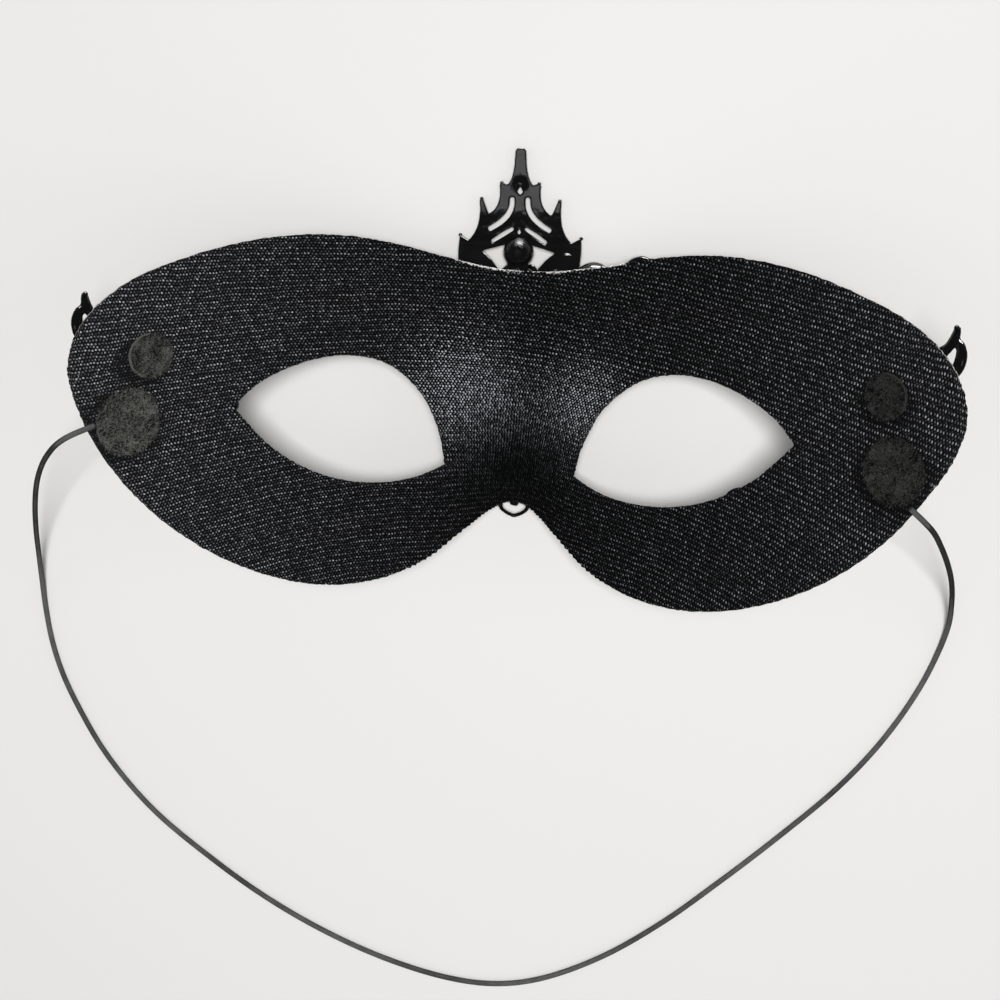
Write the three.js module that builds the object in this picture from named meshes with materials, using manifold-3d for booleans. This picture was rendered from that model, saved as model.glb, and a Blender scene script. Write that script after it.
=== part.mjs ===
// A half-face masquerade mask with a lacquered openwork ornament and an elastic cord.
// It lies on its ornament, with the lined inside of the face up and the cord on the floor.
// Millimetres. X runs from temple to temple, Y from the cheeks to the crest, Z up.
// The face is drawn with Y = 0 at the eyes; the whole is moved to its origin at the end.

import * as THREE from "three";
import { mergeVertices } from "three/addons/utils/BufferGeometryUtils.js";
import Module from "manifold-3d";

const wasm = await Module();
wasm.setup();

const { smoothstep, lerp } = THREE.MathUtils;

// The moulded face
const shellThickness = 1.8;
const wrapRadius = 141; // bend round the head, temple to temple
const restSlope = 0.19; // the cheeks lie higher than the brow
const faceHeight = 14.8; // middle of the wall above the floor, at eye level, before the nose
const nose = { depth: 13, top: 38, bottom: -20, topWidth: 15, bottomWidth: 12 };
const bulges = [
  { x: 42, y: -26, depth: 1.6, halfWidth: 26, halfHeight: 14 }, // cheek
  { x: 38, y: 28, depth: 1.4, halfWidth: 30, halfHeight: 13 }, // brow
];
const middleY = 14.42; // halfway between the cheeks and the crest's tip

// The half outline, from the top of the nose arch round the cheek, temple and brow
const halfOutline = [
  [0, -18.6], [4.5, -19.6], [11, -24], [20, -31.4], [30, -35.9], [42, -37.4], [55, -35],
  [68, -28.8], [80, -18.8], [89.3, -6.3], [94.8, 6], [96.4, 15], [93.6, 24.2], [86.8, 31.8],
  [75, 38], [61, 42.3], [46, 43.9], [32, 42.6], [19, 39.9], [8, 38], [0, 37.6],
];

const rightReach = 0.8; // the right wing's upper half reaches this much further out than the left's

// The eye hole, from its outer corner over the top to its inner corner and back below
const eyeTop = [
  [64.7, 3.6], [60, 8.8], [53, 13], [45, 15.7], [37, 16.2], [29, 13.8], [21.5, 7.2], [17, -1.5], [15.1, -9.3],
];
const eyeBottom = [[15.1, -9.3], [22.5, -12.5], [31, -14], [40, -13.4], [49, -10.2], [57, -4.8], [64.7, 3.6]];
const eyeFixed = { x: 64.7, y: 16.3 }; // the right eye is cut a little larger than the left from here
const eyeCut = { right: 1.02, left: 0.98 };

// Felt discs on the lining: the large ones hold the cord's ends, the small ones the ornament's fixings
const discs = [
  { name: "cord_disc_left", x: -85.6, y: 0.9, radius: 7.6, thickness: 1.1 },
  { name: "cord_disc_right", x: 85.5, y: 0.8, radius: 7.6, thickness: 1.1 },
  { name: "ornament_disc_left", x: -82.2, y: 15.5, radius: 5.2, thickness: 0.9 },
  { name: "ornament_disc_right", x: 83, y: 16.5, radius: 5.2, thickness: 0.9 },
];
const gap = 0.3; // clear space between pieces that touch

// The openwork ornament on the front
const ornamentThickness = 2;
const ornamentGap = 0.35;
const crestLean = { slope: 0.0365, fromY: -20, reach: 40 }; // it leans to the left towards the crest
const templeRise = 0.02; // and its right end sits higher than its left
const crestThickness = 2.4;
const crestBend = { from: 37, to: 46, reach: 23, fade: 5 }; // where the crest bends down to the floor
const ballRadius = 3.7;
const step = 5; // length of the facets along a scroll
const crowded = 0.25; // corners closer than this become one

// The elastic cord, from the left large disc down to the floor and round to the right one
const cordDiameter = 1.3;
const cordSides = 8;
const cordSteps = 68;
const cordRoute = [
  [-90.7, 0.6, 50.4], [-92.3, -0.1, 51.9], [-95, -1.4, 52.7], [-98.6, -3.6, 50.3],
  [-102.6, -6.8, 45.3], [-106.5, -11, 39.6], [-110.3, -16.5, 32.6], [-113.9, -23.6, 24.2],
  [-117.2, -32, 14.8], [-119.4, -40.2, 7], [-120.3, -47.9, 2.4], [-119.9, -55.5, 0.9],
  [-118.3, -64.2, 0.7], [-115.6, -72.6, 0.7], [-111.6, -81, 0.7], [-103.7, -94, 0.7],
  [-91.5, -107.8, 0.7], [-75.3, -120.4, 0.7], [-59.1, -130.8, 0.7], [-42.6, -139, 0.7],
  [-26.4, -144.9, 0.7], [-10.8, -148.4, 0.7], [1.4, -148.9, 0.7], [13.2, -146.4, 0.7],
  [28.6, -138.9, 0.7], [43.6, -128, 0.7], [58.2, -114.8, 0.7], [72.4, -101, 0.7],
  [86, -86.6, 0.7], [95.8, -73.2, 0.7], [103, -59.8, 0.7], [106.7, -49.8, 1],
  [108, -42.6, 3], [107.2, -35.7, 8], [105, -28.9, 16.4], [101.6, -22.2, 26.4],
  [97.8, -16.2, 36], [94.6, -11.9, 43.5], [91.3, -8.6, 48.9], [88, -5.8, 49.9],
];

const colours = {
  lining: new THREE.MeshStandardMaterial({ color: 0x18181b, roughness: 0.9, metalness: 0 }),
  felt: new THREE.MeshStandardMaterial({ color: 0x343432, roughness: 1, metalness: 0 }),
  lacquer: new THREE.MeshStandardMaterial({ color: 0x0b0b0c, roughness: 0.2, metalness: 0.3 }),
  elastic: new THREE.MeshStandardMaterial({ color: 0x232324, roughness: 0.75, metalness: 0 }),
};

// The height of the middle of the wall over any point of the face
function faceZ(x, y) {
  const wrap = wrapRadius - Math.sqrt(wrapRadius ** 2 - x ** 2);
  const down = smoothstep(nose.top - y, 0, nose.top - nose.bottom);
  const width = lerp(nose.topWidth, nose.bottomWidth, down);
  const ridge = nose.depth * down * Math.exp(-((x / width) ** 2));
  let swell = 0;
  for (const bulge of bulges) {
    const across = (Math.abs(x) - bulge.x) / bulge.halfWidth;
    const along = (y - bulge.y) / bulge.halfHeight;
    swell += bulge.depth * Math.exp(-(across ** 2) - along ** 2);
  }
  return faceHeight - restSlope * y + wrap - ridge - swell;
}

// A point at a distance from the middle of the wall: above 0 inside the mask, below 0 in front of it
function onFace(x, y, lift) {
  const h = 0.05;
  const slopeX = (faceZ(x + h, y) - faceZ(x - h, y)) / (2 * h);
  const slopeY = (faceZ(x, y + h) - faceZ(x, y - h)) / (2 * h);
  const normal = new THREE.Vector3(-slopeX, -slopeY, 1).normalize();
  return new THREE.Vector3(x, y, faceZ(x, y)).addScaledVector(normal, lift);
}

function vectors(points) {
  return points.map(([x, y]) => new THREE.Vector2(x, y));
}

function bodyFrom(positions, indices) {
  const geometry = new THREE.BufferGeometry();
  geometry.setAttribute("position", new THREE.Float32BufferAttribute(positions, 3));
  geometry.setIndex(indices);
  return mergeVertices(geometry, 1e-3);
}

// The right half's outer edge: wing to brow, down the midline, nose arch and cheek back to the wing
function halfEdge() {
  const mirrored = halfOutline.slice(1, -1).reverse().map(([x, y]) => [-x, y]);
  const corners = [...halfOutline, ...mirrored].map(([x, y]) => new THREE.Vector3(x, y, 0));
  const curve = new THREE.CatmullRomCurve3(corners, true);
  const at = (place) => curve.getPoint(place / corners.length);
  const wing = 10.3; // places count the outline's own points
  const brow = halfOutline.length - 1;
  const noseFacing = -8; // the height on the midline that faces the inner corner of the eye
  const browSteps = 24;
  const upperSteps = 11;
  const lowerSteps = 3;
  const cheekSteps = 24;
  const archY = halfOutline[0][1];
  const browY = halfOutline[brow][1];
  const edge = [];
  for (let i = 0; i < browSteps; i += 1) edge.push(at(lerp(wing, brow, i / browSteps)));
  for (let i = 0; i < upperSteps; i += 1) {
    edge.push(new THREE.Vector3(0, lerp(browY, noseFacing, i / upperSteps), 0));
  }
  for (let i = 0; i < lowerSteps; i += 1) {
    edge.push(new THREE.Vector3(0, lerp(noseFacing, archY, i / lowerSteps), 0));
  }
  for (let i = 0; i < cheekSteps; i += 1) edge.push(at(lerp(0, wing, i / cheekSteps)));
  return { edge, upper: browSteps + upperSteps, lower: lowerSteps + cheekSteps };
}

function eyeEdge(upper, lower, cut) {
  const top = new THREE.SplineCurve(vectors(eyeTop)).getSpacedPoints(upper).slice(0, -1);
  const bottom = new THREE.SplineCurve(vectors(eyeBottom)).getSpacedPoints(lower).slice(0, -1);
  const scaled = (p) => ({
    x: eyeFixed.x + (p.x - eyeFixed.x) * cut,
    y: eyeFixed.y + (p.y - eyeFixed.y) * cut,
  });
  return [...top, ...bottom].map(scaled);
}

// The moulded wall: rings of facets between each eye hole and its half of the outline
function makeShell() {
  const rings = 5;
  const positions = [];
  const indices = [];
  const { edge, upper, lower } = halfEdge();
  const count = edge.length;
  for (const side of [1, -1]) {
    const eye = eyeEdge(upper, lower, side > 0 ? eyeCut.right : eyeCut.left);
    const reach = (p) => (side > 0 ? rightReach * smoothstep(p.x, 70, 95) * smoothstep(p.y, -8, 8) : 0);
    const start = positions.length / 3;
    const inside = (ring, i) => start + 2 * (ring * count + (i % count));
    const front = (ring, i) => inside(ring, i) + 1;
    for (let ring = 0; ring <= rings; ring += 1) {
      for (let i = 0; i < count; i += 1) {
        const x = lerp(eye[i].x, edge[i].x + reach(edge[i]), ring / rings);
        const y = lerp(eye[i].y, edge[i].y, ring / rings);
        for (const lift of [shellThickness / 2, -shellThickness / 2]) {
          const p = onFace(x, y, lift);
          positions.push(side * p.x, p.y, p.z);
        }
      }
    }
    const quad = (a, b, c, d) => {
      if (side > 0) indices.push(a, b, c, a, c, d);
      else indices.push(a, c, b, a, d, c);
    };
    for (let i = 0; i < count; i += 1) {
      const next = i + 1;
      for (let ring = 0; ring < rings; ring += 1) {
        quad(inside(ring, i), inside(ring + 1, i), inside(ring + 1, next), inside(ring, next));
        quad(front(ring, i), front(ring, next), front(ring + 1, next), front(ring + 1, i));
      }
      quad(inside(0, i), inside(0, next), front(0, next), front(0, i));
      const onMidline = edge[i].x < 1e-6 && edge[next % count].x < 1e-6;
      if (!onMidline) {
        quad(inside(rings, i), front(rings, i), front(rings, next), inside(rings, next));
      }
    }
  }
  return bodyFrom(positions, indices);
}

// A felt disc lying on the lining, following its bend
function makeDisc({ x, y, radius, thickness }) {
  const round = 0.3;
  const profile = vectors([
    [0, 0], [radius - round, 0], [radius, round],
    [radius, thickness - round], [radius - round, thickness], [0, thickness],
  ]);
  const geometry = new THREE.LatheGeometry(profile, 20);
  geometry.rotateX(Math.PI / 2);
  const flat = geometry.getAttribute("position");
  const centre = onFace(x, y, 0);
  const along = onFace(x + 0.1, y, 0).sub(centre).normalize();
  const up = onFace(x, y + 0.1, 0).sub(centre).normalize();
  for (let i = 0; i < flat.count; i += 1) {
    const spot = centre.clone().addScaledVector(along, flat.getX(i)).addScaledVector(up, flat.getY(i));
    const p = onFace(spot.x, spot.y, shellThickness / 2 + gap + flat.getZ(i));
    flat.setXYZ(i, p.x, p.y, p.z);
  }
  return closed(geometry);
}

// Only the positions, with the vertices that meet made one
function closed(geometry) {
  const bare = geometry.clone();
  bare.deleteAttribute("normal");
  bare.deleteAttribute("uv");
  return mergeVertices(bare, 1e-3);
}

function toSolid(geometry) {
  const body = closed(geometry);
  const vertProperties = new Float32Array(body.getAttribute("position").array);
  const triVerts = new Uint32Array(body.getIndex().array);
  return new wasm.Manifold(new wasm.Mesh({ numProp: 3, vertProperties, triVerts }));
}

function fromSolid(solid) {
  const mesh = solid.getMesh();
  const geometry = new THREE.BufferGeometry();
  geometry.setAttribute("position", new THREE.Float32BufferAttribute(mesh.vertProperties, 3));
  geometry.setIndex(Array.from(mesh.triVerts));
  return mergeVertices(geometry, 1e-3);
}

function joined(solids) {
  return solids.reduce((sum, solid) => sum.add(solid));
}

function slab(shape) {
  const options = { depth: ornamentThickness, bevelEnabled: false, curveSegments: 4 };
  return toSolid(new THREE.ExtrudeGeometry(shape, options));
}

// The closed loops round a flat body and its holes, from the edges that bound its top
function loopsOf(solid) {
  const geometry = fromSolid(solid);
  const position = geometry.getAttribute("position");
  const index = geometry.getIndex().array;
  const onTop = (i) => position.getZ(i) > ornamentThickness / 2;
  const edges = new Map();
  for (let i = 0; i < index.length; i += 3) {
    const corners = [index[i], index[i + 1], index[i + 2]];
    if (!corners.every(onTop)) continue;
    corners.forEach((from, k) => {
      const to = corners[(k + 1) % 3];
      if (edges.get(to)?.delete(from)) return;
      if (!edges.has(from)) edges.set(from, new Set());
      edges.get(from).add(to);
    });
  }
  const loops = [];
  for (const [start, ends] of edges) {
    while (ends.size > 0) {
      const loop = [];
      let at = start;
      do {
        loop.push(new THREE.Vector2(position.getX(at), position.getY(at)));
        const [next] = edges.get(at);
        edges.get(at).delete(next);
        at = next;
      } while (at !== start);
      loops.push(evened(loop));
    }
  }
  return loops;
}

// The same loop with crowded corners made one and long edges divided
function evened(loop) {
  const kept = loop.filter((point, i) => point.distanceTo(loop.at(i - 1)) > crowded);
  return kept.flatMap((point, i) => {
    const next = kept[(i + 1) % kept.length];
    const parts = Math.ceil(point.distanceTo(next) / step - 0.05);
    return Array.from({ length: parts }, (_, k) => point.clone().lerp(next, k / parts));
  });
}

// Swaps the diagonal of neighbouring triangles while the other one is shorter, so that all stay small
function shortened(points, triangles) {
  const turn = (a, b, c) => points[b].clone().sub(points[a]).cross(points[c].clone().sub(points[a]));
  let swapped = true;
  while (swapped) {
    swapped = false;
    const owner = new Map();
    triangles.forEach((triangle, t) => {
      for (let k = 0; k < 3; k += 1) owner.set(`${triangle[k]} ${triangle[(k + 1) % 3]}`, t);
    });
    const settled = new Set();
    for (let t = 0; t < triangles.length; t += 1) {
      for (let k = 0; k < 3; k += 1) {
        const [a, b, c] = [triangles[t][k], triangles[t][(k + 1) % 3], triangles[t][(k + 2) % 3]];
        const other = owner.get(`${b} ${a}`);
        if (other === undefined || settled.has(t) || settled.has(other)) continue;
        const d = triangles[other].find((corner) => corner !== a && corner !== b);
        const longer = points[a].distanceTo(points[b]) > points[c].distanceTo(points[d]) + 1e-6;
        if (!longer || turn(c, a, d) < 1e-3 || turn(d, b, c) < 1e-3) continue;
        triangles[t] = [a, d, c];
        triangles[other] = [d, b, c];
        settled.add(t).add(other);
        swapped = true;
      }
    }
  }
  return triangles;
}

// A flat body of the ornament's right half and its mirror image, bent onto the face
function bentHalves(solid, positions, indices) {
  const loops = loopsOf(solid);
  const outer = loops.find((loop) => THREE.ShapeUtils.area(loop) > 0);
  const holes = loops.filter((loop) => loop !== outer);
  const points = [...outer, ...holes.flat()];
  const faces = shortened(points, THREE.ShapeUtils.triangulateShape(outer, holes));
  const walls = [];
  let first = 0;
  for (const loop of [outer, ...holes]) {
    loop.forEach((point, i) => {
      const next = (i + 1) % loop.length;
      const onMidline = point.x < 1e-4 && loop[next].x < 1e-4;
      if (!onMidline) walls.push([first + i, first + next]);
    });
    first += loop.length;
  }
  for (const side of [1, -1]) {
    const start = positions.length / 3;
    for (const point of points) {
      for (const depth of [0, ornamentThickness]) {
        positions.push(...ornamentPlace(side * point.x, point.y, depth).toArray());
      }
    }
    const back = (i) => start + 2 * i;
    const front = (i) => back(i) + 1;
    const triangle = (a, b, c) => (side > 0 ? indices.push(a, b, c) : indices.push(a, c, b));
    for (const [a, b, c] of faces) {
      triangle(back(a), back(b), back(c));
      triangle(front(a), front(c), front(b));
    }
    for (const [a, b] of walls) {
      triangle(back(a), front(a), front(b));
      triangle(back(a), front(b), back(b));
    }
  }
}

// A flat scroll along a curve, its width given at the start, middle and end
function scroll(points, [startWidth, middleWidth, endWidth], fewest = 3) {
  const curve = new THREE.SplineCurve(vectors(points));
  const pieces = Math.max(fewest, Math.round(curve.getLength() / step));
  const left = [];
  const right = [];
  for (let i = 0; i <= pieces; i += 1) {
    const t = i / pieces;
    const centre = curve.getPointAt(t);
    const tangent = curve.getTangentAt(t);
    const swell = Math.sin(Math.PI * t);
    const half = (lerp(startWidth, endWidth, t) * (1 - swell) + middleWidth * swell) / 2;
    left.push(new THREE.Vector2(centre.x - tangent.y * half, centre.y + tangent.x * half));
    right.unshift(new THREE.Vector2(centre.x + tangent.y * half, centre.y - tangent.x * half));
  }
  return new THREE.Shape([...left, ...right]);
}

// A round bead at the end of a scroll or between two
function bead(x, y, radius) {
  const shape = new THREE.Shape();
  shape.absarc(x, y, radius, 0, 2 * Math.PI);
  return shape;
}

// The frame round the eye, open at the temple, with the beads that show past the lining's edge
function eyeFrame() {
  return [
    scroll(
      [
        [66.8, 4.6], [58.5, 14], [48.5, 19], [38.5, 20.2], [29.5, 18.6],
        [21.5, 13.4], [15.5, 5], [12, -4], [11.2, -12],
      ],
      [2, 2.2, 2],
    ),
    scroll(
      [[11.2, -12], [17, -15.4], [25.5, -17.8], [35, -18.4], [46, -16.4], [55, -12], [62, -5], [66.8, 4.6]],
      [2, 2.2, 2],
    ),
    bead(64.6, 5.6, 1.9),
    bead(60.2, -5.6, 1.7),
    scroll([[49.8, -13.6], [50.4, -10.6], [53.2, -9.3], [56, -10.4], [56.6, -12.2]], [1.2, 1.4, 1.2]),
  ];
}

// The brow's leaf run and long scroll, from the crest to the temple's spike
function browScrolls() {
  return [
    scroll(
      [
        [10, 35], [17, 37.6], [25, 37.4], [37, 38.6], [49, 38],
        [61, 35], [73, 30], [83, 25.4], [89, 25], [92.4, 27],
      ],
      [2.4, 2.6, 1.8],
    ),
    scroll([[13, 36.8], [17.2, 39.4], [21.2, 39]], [2, 3, 1]),
    scroll([[23.9, 37.9], [26, 41], [28.8, 41.9], [31, 40.3], [30.2, 37.4]], [1.6, 1.9, 1.2]),
    bead(28.6, 39.8, 1.5),
    scroll([[30, 19.4], [31.5, 26.5], [37.5, 31], [44, 29.5], [45.4, 25.4], [42, 23.6]], [2, 1.7, 1.1]),
    bead(41.6, 24.6, 1.5),
    scroll([[37.5, 31], [43, 35], [50.5, 37.4]], [1, 1.8, 1.2]),
    scroll([[51, 18.4], [55.5, 25.5], [62.5, 27.5], [67, 23.5], [65.5, 19.4], [62, 19.2]], [2, 1.7, 1.1]),
    bead(62.4, 20.4, 1.4),
    scroll([[62.5, 27.5], [67, 30], [73, 29.6]], [1, 1.6, 1.2]),
  ];
}

// The crescent and spike that show past the lining at the temple, and the scroll inside them
function templeScrolls() {
  return [
    scroll([[91.4, 25.4], [92.5, 26.9], [93.5, 29.2], [93.9, 31.1]], [1.6, 1.2, 0.8]),
    scroll(
      [[93.3, 28.8], [94.5, 28], [94.9, 26.6], [94.9, 24.8], [94.3, 22.4], [92.8, 20.2], [91.2, 18.8]],
      [1.2, 1.5, 1.2], 9,
    ),
    scroll(
      [[66.6, 4], [72.5, 10.4], [79.5, 12.4], [85.2, 9], [85.4, 2.8], [80.8, 0.6], [77.8, 4]],
      [2, 1.9, 1.1],
    ),
    bead(78.6, 4.8, 1.6),
    scroll([[72.5, 10.4], [75, 16.5], [81, 19.5], [86.5, 17.4], [86.8, 13.4]], [1.2, 1.8, 1.1]),
    bead(85.6, 13.4, 1.3),
    scroll([[81, 19.5], [86, 22.4], [89.5, 25]], [1.2, 1.8, 1.6]),
  ];
}

// The long scroll under the eye, from the side of the nose over the cheek to the temple
function cheekScrolls() {
  return [
    scroll(
      [
        [5.5, -11], [9.5, -18], [17.5, -24.4], [28, -28.6], [40, -30], [53, -28],
        [65, -22.6], [76, -13.6], [84.6, -3], [89.2, 8.5], [91.6, 18.6],
      ],
      [1.8, 2.6, 1.8],
    ),
    scroll([[23, -17.4], [24, -22.6], [29.6, -24.6], [33, -22], [31.2, -20.4]], [1.6, 1.6, 1]),
    scroll([[62, -5.4], [64.8, -12], [59.5, -16.6], [53.6, -15.4], [54.4, -12]], [1.6, 1.7, 1.2]),
    bead(56, -16.9, 1.3),
    scroll([[59.5, -16.6], [62.5, -20.4], [68, -20.8]], [1.1, 1.6, 1]),
    scroll([[34.5, -18.6], [38.5, -23.6], [45, -25.6], [51, -28]], [1.4, 1.9, 1.2]),
    scroll([[68.4, 3], [72.8, -4.4], [78.4, -10.4]], [1.6, 2, 1.4]),
  ];
}

// Links down the bridge of the nose, and the heart-shaped loop that hangs below its arch
function noseScrolls() {
  const links = [[35, 24, 3.4], [24, 11, 4.4], [11, -2, 3.8], [-2, -14, 4.6]];
  const shapes = links.map(([top, bottom, bulge]) => {
    const middle = (top + bottom) / 2;
    return scroll([[0, top], [bulge, middle + 1], [bulge, middle - 1], [0, bottom]], [1.8, 1.7, 1.8]);
  });
  shapes.push(scroll([[3.8, 17], [8.5, 15], [14.8, 5]], [1.2, 1.8, 1.4]));
  shapes.push(scroll([[4.2, -8.4], [7.4, -8.6], [11.4, -11.6]], [1.4, 2, 1.6]));
  shapes.push(scroll([[0, -13], [2.6, -14.6], [5, -12.2]], [1.6, 1.6, 1.4]));
  shapes.push(scroll([[0.3, -14], [0.3, -16.6], [0.3, -19.4]], [1.4, 1.2, 0.9]));
  const heart = [[0, -19.2], [1.1, -18.1], [2.4, -18.8], [2.4, -20.1], [1.4, -21.3], [0, -22.1]];
  shapes.push(scroll(heart, [0.9, 0.95, 1], 7));
  return shapes;
}

// The crest's right half: a pierced plate with a spire, two points and a wide foot behind the brow
function crestPlate() {
  const half = new THREE.Shape();
  half.moveTo(0, 66.4);
  half.lineTo(0.9, 66.4);
  half.lineTo(1.3, 65.8);
  half.lineTo(1.5, 62.4);
  half.quadraticCurveTo(1.9, 59, 3.1, 57.8);
  half.lineTo(4.7, 58.5);
  half.lineTo(5, 57.6);
  half.quadraticCurveTo(4.4, 52.4, 7.6, 50.8);
  half.quadraticCurveTo(8.4, 52.8, 9.2, 54.7);
  half.lineTo(9.9, 54.1);
  half.quadraticCurveTo(9.2, 47.2, 12.4, 44.5);
  half.lineTo(14.6, 45.7);
  half.quadraticCurveTo(15.2, 41, 13.8, 37.5);
  half.quadraticCurveTo(11.5, 33.4, 6, 33.4);
  half.lineTo(0, 33.4);
  return half;
}

function crestSlots() {
  const sideOpening = new THREE.Shape();
  sideOpening.moveTo(2.6, 43.8);
  sideOpening.lineTo(8.8, 42.1);
  sideOpening.quadraticCurveTo(6.3, 40.7, 4, 37.2);
  sideOpening.lineTo(2.6, 38.4);
  const slots = [
    scroll([[1.9, 54.9], [2, 52.7], [2.9, 50.7], [4.8, 48.8], [7.5, 47.1]], [1, 1.25, 1.1]),
    scroll([[1.4, 47.6], [4, 46], [6.6, 44.3]], [0.8, 1, 0.8]),
    sideOpening,
  ];
  for (const [y, size] of [[56.2, 0.7], [46.6, 0.5]]) {
    slots.push(new THREE.Shape(vectors([[size, y], [0, y + 2 * size], [-size, y], [0, y - size]])));
  }
  return slots;
}

// The ornament follows the front of the face, and its crest bends down from the brow to the floor
function ornamentPlace(x, y, depth) {
  const lean = crestLean.slope * Math.exp(-((x / crestLean.reach) ** 2));
  const px = x - lean * (y - crestLean.fromY);
  const py = y + templeRise * x;
  const front = onFace(px, py, -shellThickness / 2 - ornamentGap - depth);
  const flat = new THREE.Vector3(px, py, crestThickness * (1 - depth / ornamentThickness));
  const near = 1 - smoothstep(Math.abs(x), crestBend.reach - crestBend.fade, crestBend.reach);
  return front.lerp(flat, smoothstep(y, crestBend.from, crestBend.to) * near);
}

// A half-round swelling on the ornament, its centre at a height over the floor
function dome(x, y, z, [radiusX, radiusY, radiusZ], sides = 12) {
  const geometry = new THREE.SphereGeometry(1, sides, sides / 2);
  geometry.scale(radiusX, radiusY, radiusZ);
  const centre = ornamentPlace(x, y, 0);
  geometry.translate(centre.x, centre.y, z);
  return toSolid(geometry);
}

// The rounded boss on the nose, ground flat where the mask rests on it
function noseBoss() {
  const radius = 3;
  const flatRadius = 1.7;
  const top = 3.3;
  const profile = vectors([
    [0, 0], [flatRadius, 0], [radius - 0.3, 1], [radius, 2], [radius - 0.8, top], [0, top],
  ]);
  const geometry = new THREE.LatheGeometry(profile, 14);
  geometry.rotateX(Math.PI / 2);
  const centre = ornamentPlace(0, -14.4, 0);
  geometry.translate(centre.x, centre.y, 0);
  return toSolid(geometry);
}

// The collar that the crest's ball stands in
function collar() {
  const profile = vectors([[0, -0.7], [2.2, -0.7], [2.7, 0], [2.2, 0.7], [0, 0.7]]);
  const geometry = new THREE.LatheGeometry(profile, 12);
  const centre = ornamentPlace(0, 38.2, 0);
  geometry.translate(centre.x, centre.y, 3.7);
  return toSolid(geometry);
}

function makeOrnament() {
  const scrolls = [...eyeFrame(), ...browScrolls(), ...templeScrolls(), ...cheekScrolls(), ...noseScrolls()];
  const crest = slab(crestPlate()).subtract(joined(crestSlots().map(slab)));
  const rightSide = slab(new THREE.Shape(vectors([[0, -60], [120, -60], [120, 90], [0, 90]])));
  const half = joined([crest, ...scrolls.map(slab)]).intersect(rightSide);
  const positions = [];
  const indices = [];
  for (const piece of half.decompose()) bentHalves(piece, positions, indices);
  const raised = [noseBoss(), collar(), dome(0, 42, ballRadius, [ballRadius, ballRadius, ballRadius], 14)];
  for (const side of [1, -1]) raised.push(dome(side * 11.5, 40.8, 3.2, [2.9, 2.1, 2], 10));
  return fromSolid(joined([toSolid(bodyFrom(positions, indices)), ...raised]));
}

function makeCord() {
  const route = new THREE.CatmullRomCurve3(cordRoute.map(([x, y, z]) => new THREE.Vector3(x, y, z)));
  const section = new THREE.Shape();
  const radius = cordDiameter / 2;
  for (let i = 0; i < cordSides; i += 1) {
    const angle = (2 * Math.PI * (i + 0.5)) / cordSides;
    const spot = [radius * Math.cos(angle), radius * Math.sin(angle)];
    if (i === 0) section.moveTo(...spot);
    else section.lineTo(...spot);
  }
  const settings = { steps: cordSteps, extrudePath: route, bevelEnabled: false };
  return closed(new THREE.ExtrudeGeometry(section, settings));
}

const mask = new THREE.Group();

function add(name, geometry, material) {
  const mesh = new THREE.Mesh(geometry, material);
  mesh.name = name;
  mask.add(mesh);
}

add("mask_shell", makeShell(), colours.lining);
add("filigree_overlay", makeOrnament(), colours.lacquer);
for (const disc of discs) add(disc.name, makeDisc(disc), colours.felt);
add("elastic_cord", makeCord(), colours.elastic);
mask.position.y = -middleY;

export default mask;
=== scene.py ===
import math
import random
import bpy
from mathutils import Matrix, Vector, kdtree, noise


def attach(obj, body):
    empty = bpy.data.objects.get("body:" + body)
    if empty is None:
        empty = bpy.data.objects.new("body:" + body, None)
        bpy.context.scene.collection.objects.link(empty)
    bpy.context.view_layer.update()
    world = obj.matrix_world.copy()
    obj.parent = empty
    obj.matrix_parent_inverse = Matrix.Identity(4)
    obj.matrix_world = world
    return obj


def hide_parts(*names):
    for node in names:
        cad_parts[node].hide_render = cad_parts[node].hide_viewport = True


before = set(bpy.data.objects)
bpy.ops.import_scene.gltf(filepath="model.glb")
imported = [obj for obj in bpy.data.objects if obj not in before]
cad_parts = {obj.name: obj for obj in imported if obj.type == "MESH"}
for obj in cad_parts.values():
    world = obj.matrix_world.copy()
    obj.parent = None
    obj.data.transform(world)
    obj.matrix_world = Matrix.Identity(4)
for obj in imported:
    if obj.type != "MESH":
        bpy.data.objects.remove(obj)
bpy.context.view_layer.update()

# Lengths in the lists are millimetres, as on a drawing. The face is drawn with Y = 0 at the eyes.
mm = 0.001
random.seed(4)

face = {
    "wrapRadius": 141, "restSlope": 0.19, "height": 14.8, "thickness": 1.8,
    "noseDepth": 13, "noseTop": 38, "noseBottom": -20, "noseTopWidth": 15, "noseBottomWidth": 12,
    "cheek": {"x": 42, "y": -26, "depth": 1.6, "halfWidth": 26, "halfHeight": 14},
    "brow": {"x": 38, "y": 28, "depth": 1.4, "halfWidth": 30, "halfHeight": 13},
    "middleY": 14.42,  # the frame's Y = 0, halfway between the cheeks and the crest's tip
}


def smooth(value, low, high):
    t = min(max((value - low) / (high - low), 0), 1)
    return t * t * (3 - 2 * t)


def blendTo(first, second, share):
    return first + (second - first) * share


def faceHeight(x, y):  # the middle of the wall over the floor
    wrap = face["wrapRadius"] - math.sqrt(face["wrapRadius"] ** 2 - x * x)
    down = smooth(face["noseTop"] - y, 0, face["noseTop"] - face["noseBottom"])
    width = blendTo(face["noseTopWidth"], face["noseBottomWidth"], down)
    ridge = face["noseDepth"] * down * math.exp(-((x / width) ** 2))
    swell = 0
    for bulge in (face["cheek"], face["brow"]):
        across = (abs(x) - bulge["x"]) / bulge["halfWidth"]
        along = (y - bulge["y"]) / bulge["halfHeight"]
        swell += bulge["depth"] * math.exp(-across * across - along * along)
    return face["height"] - face["restSlope"] * y + wrap - ridge - swell


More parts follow.
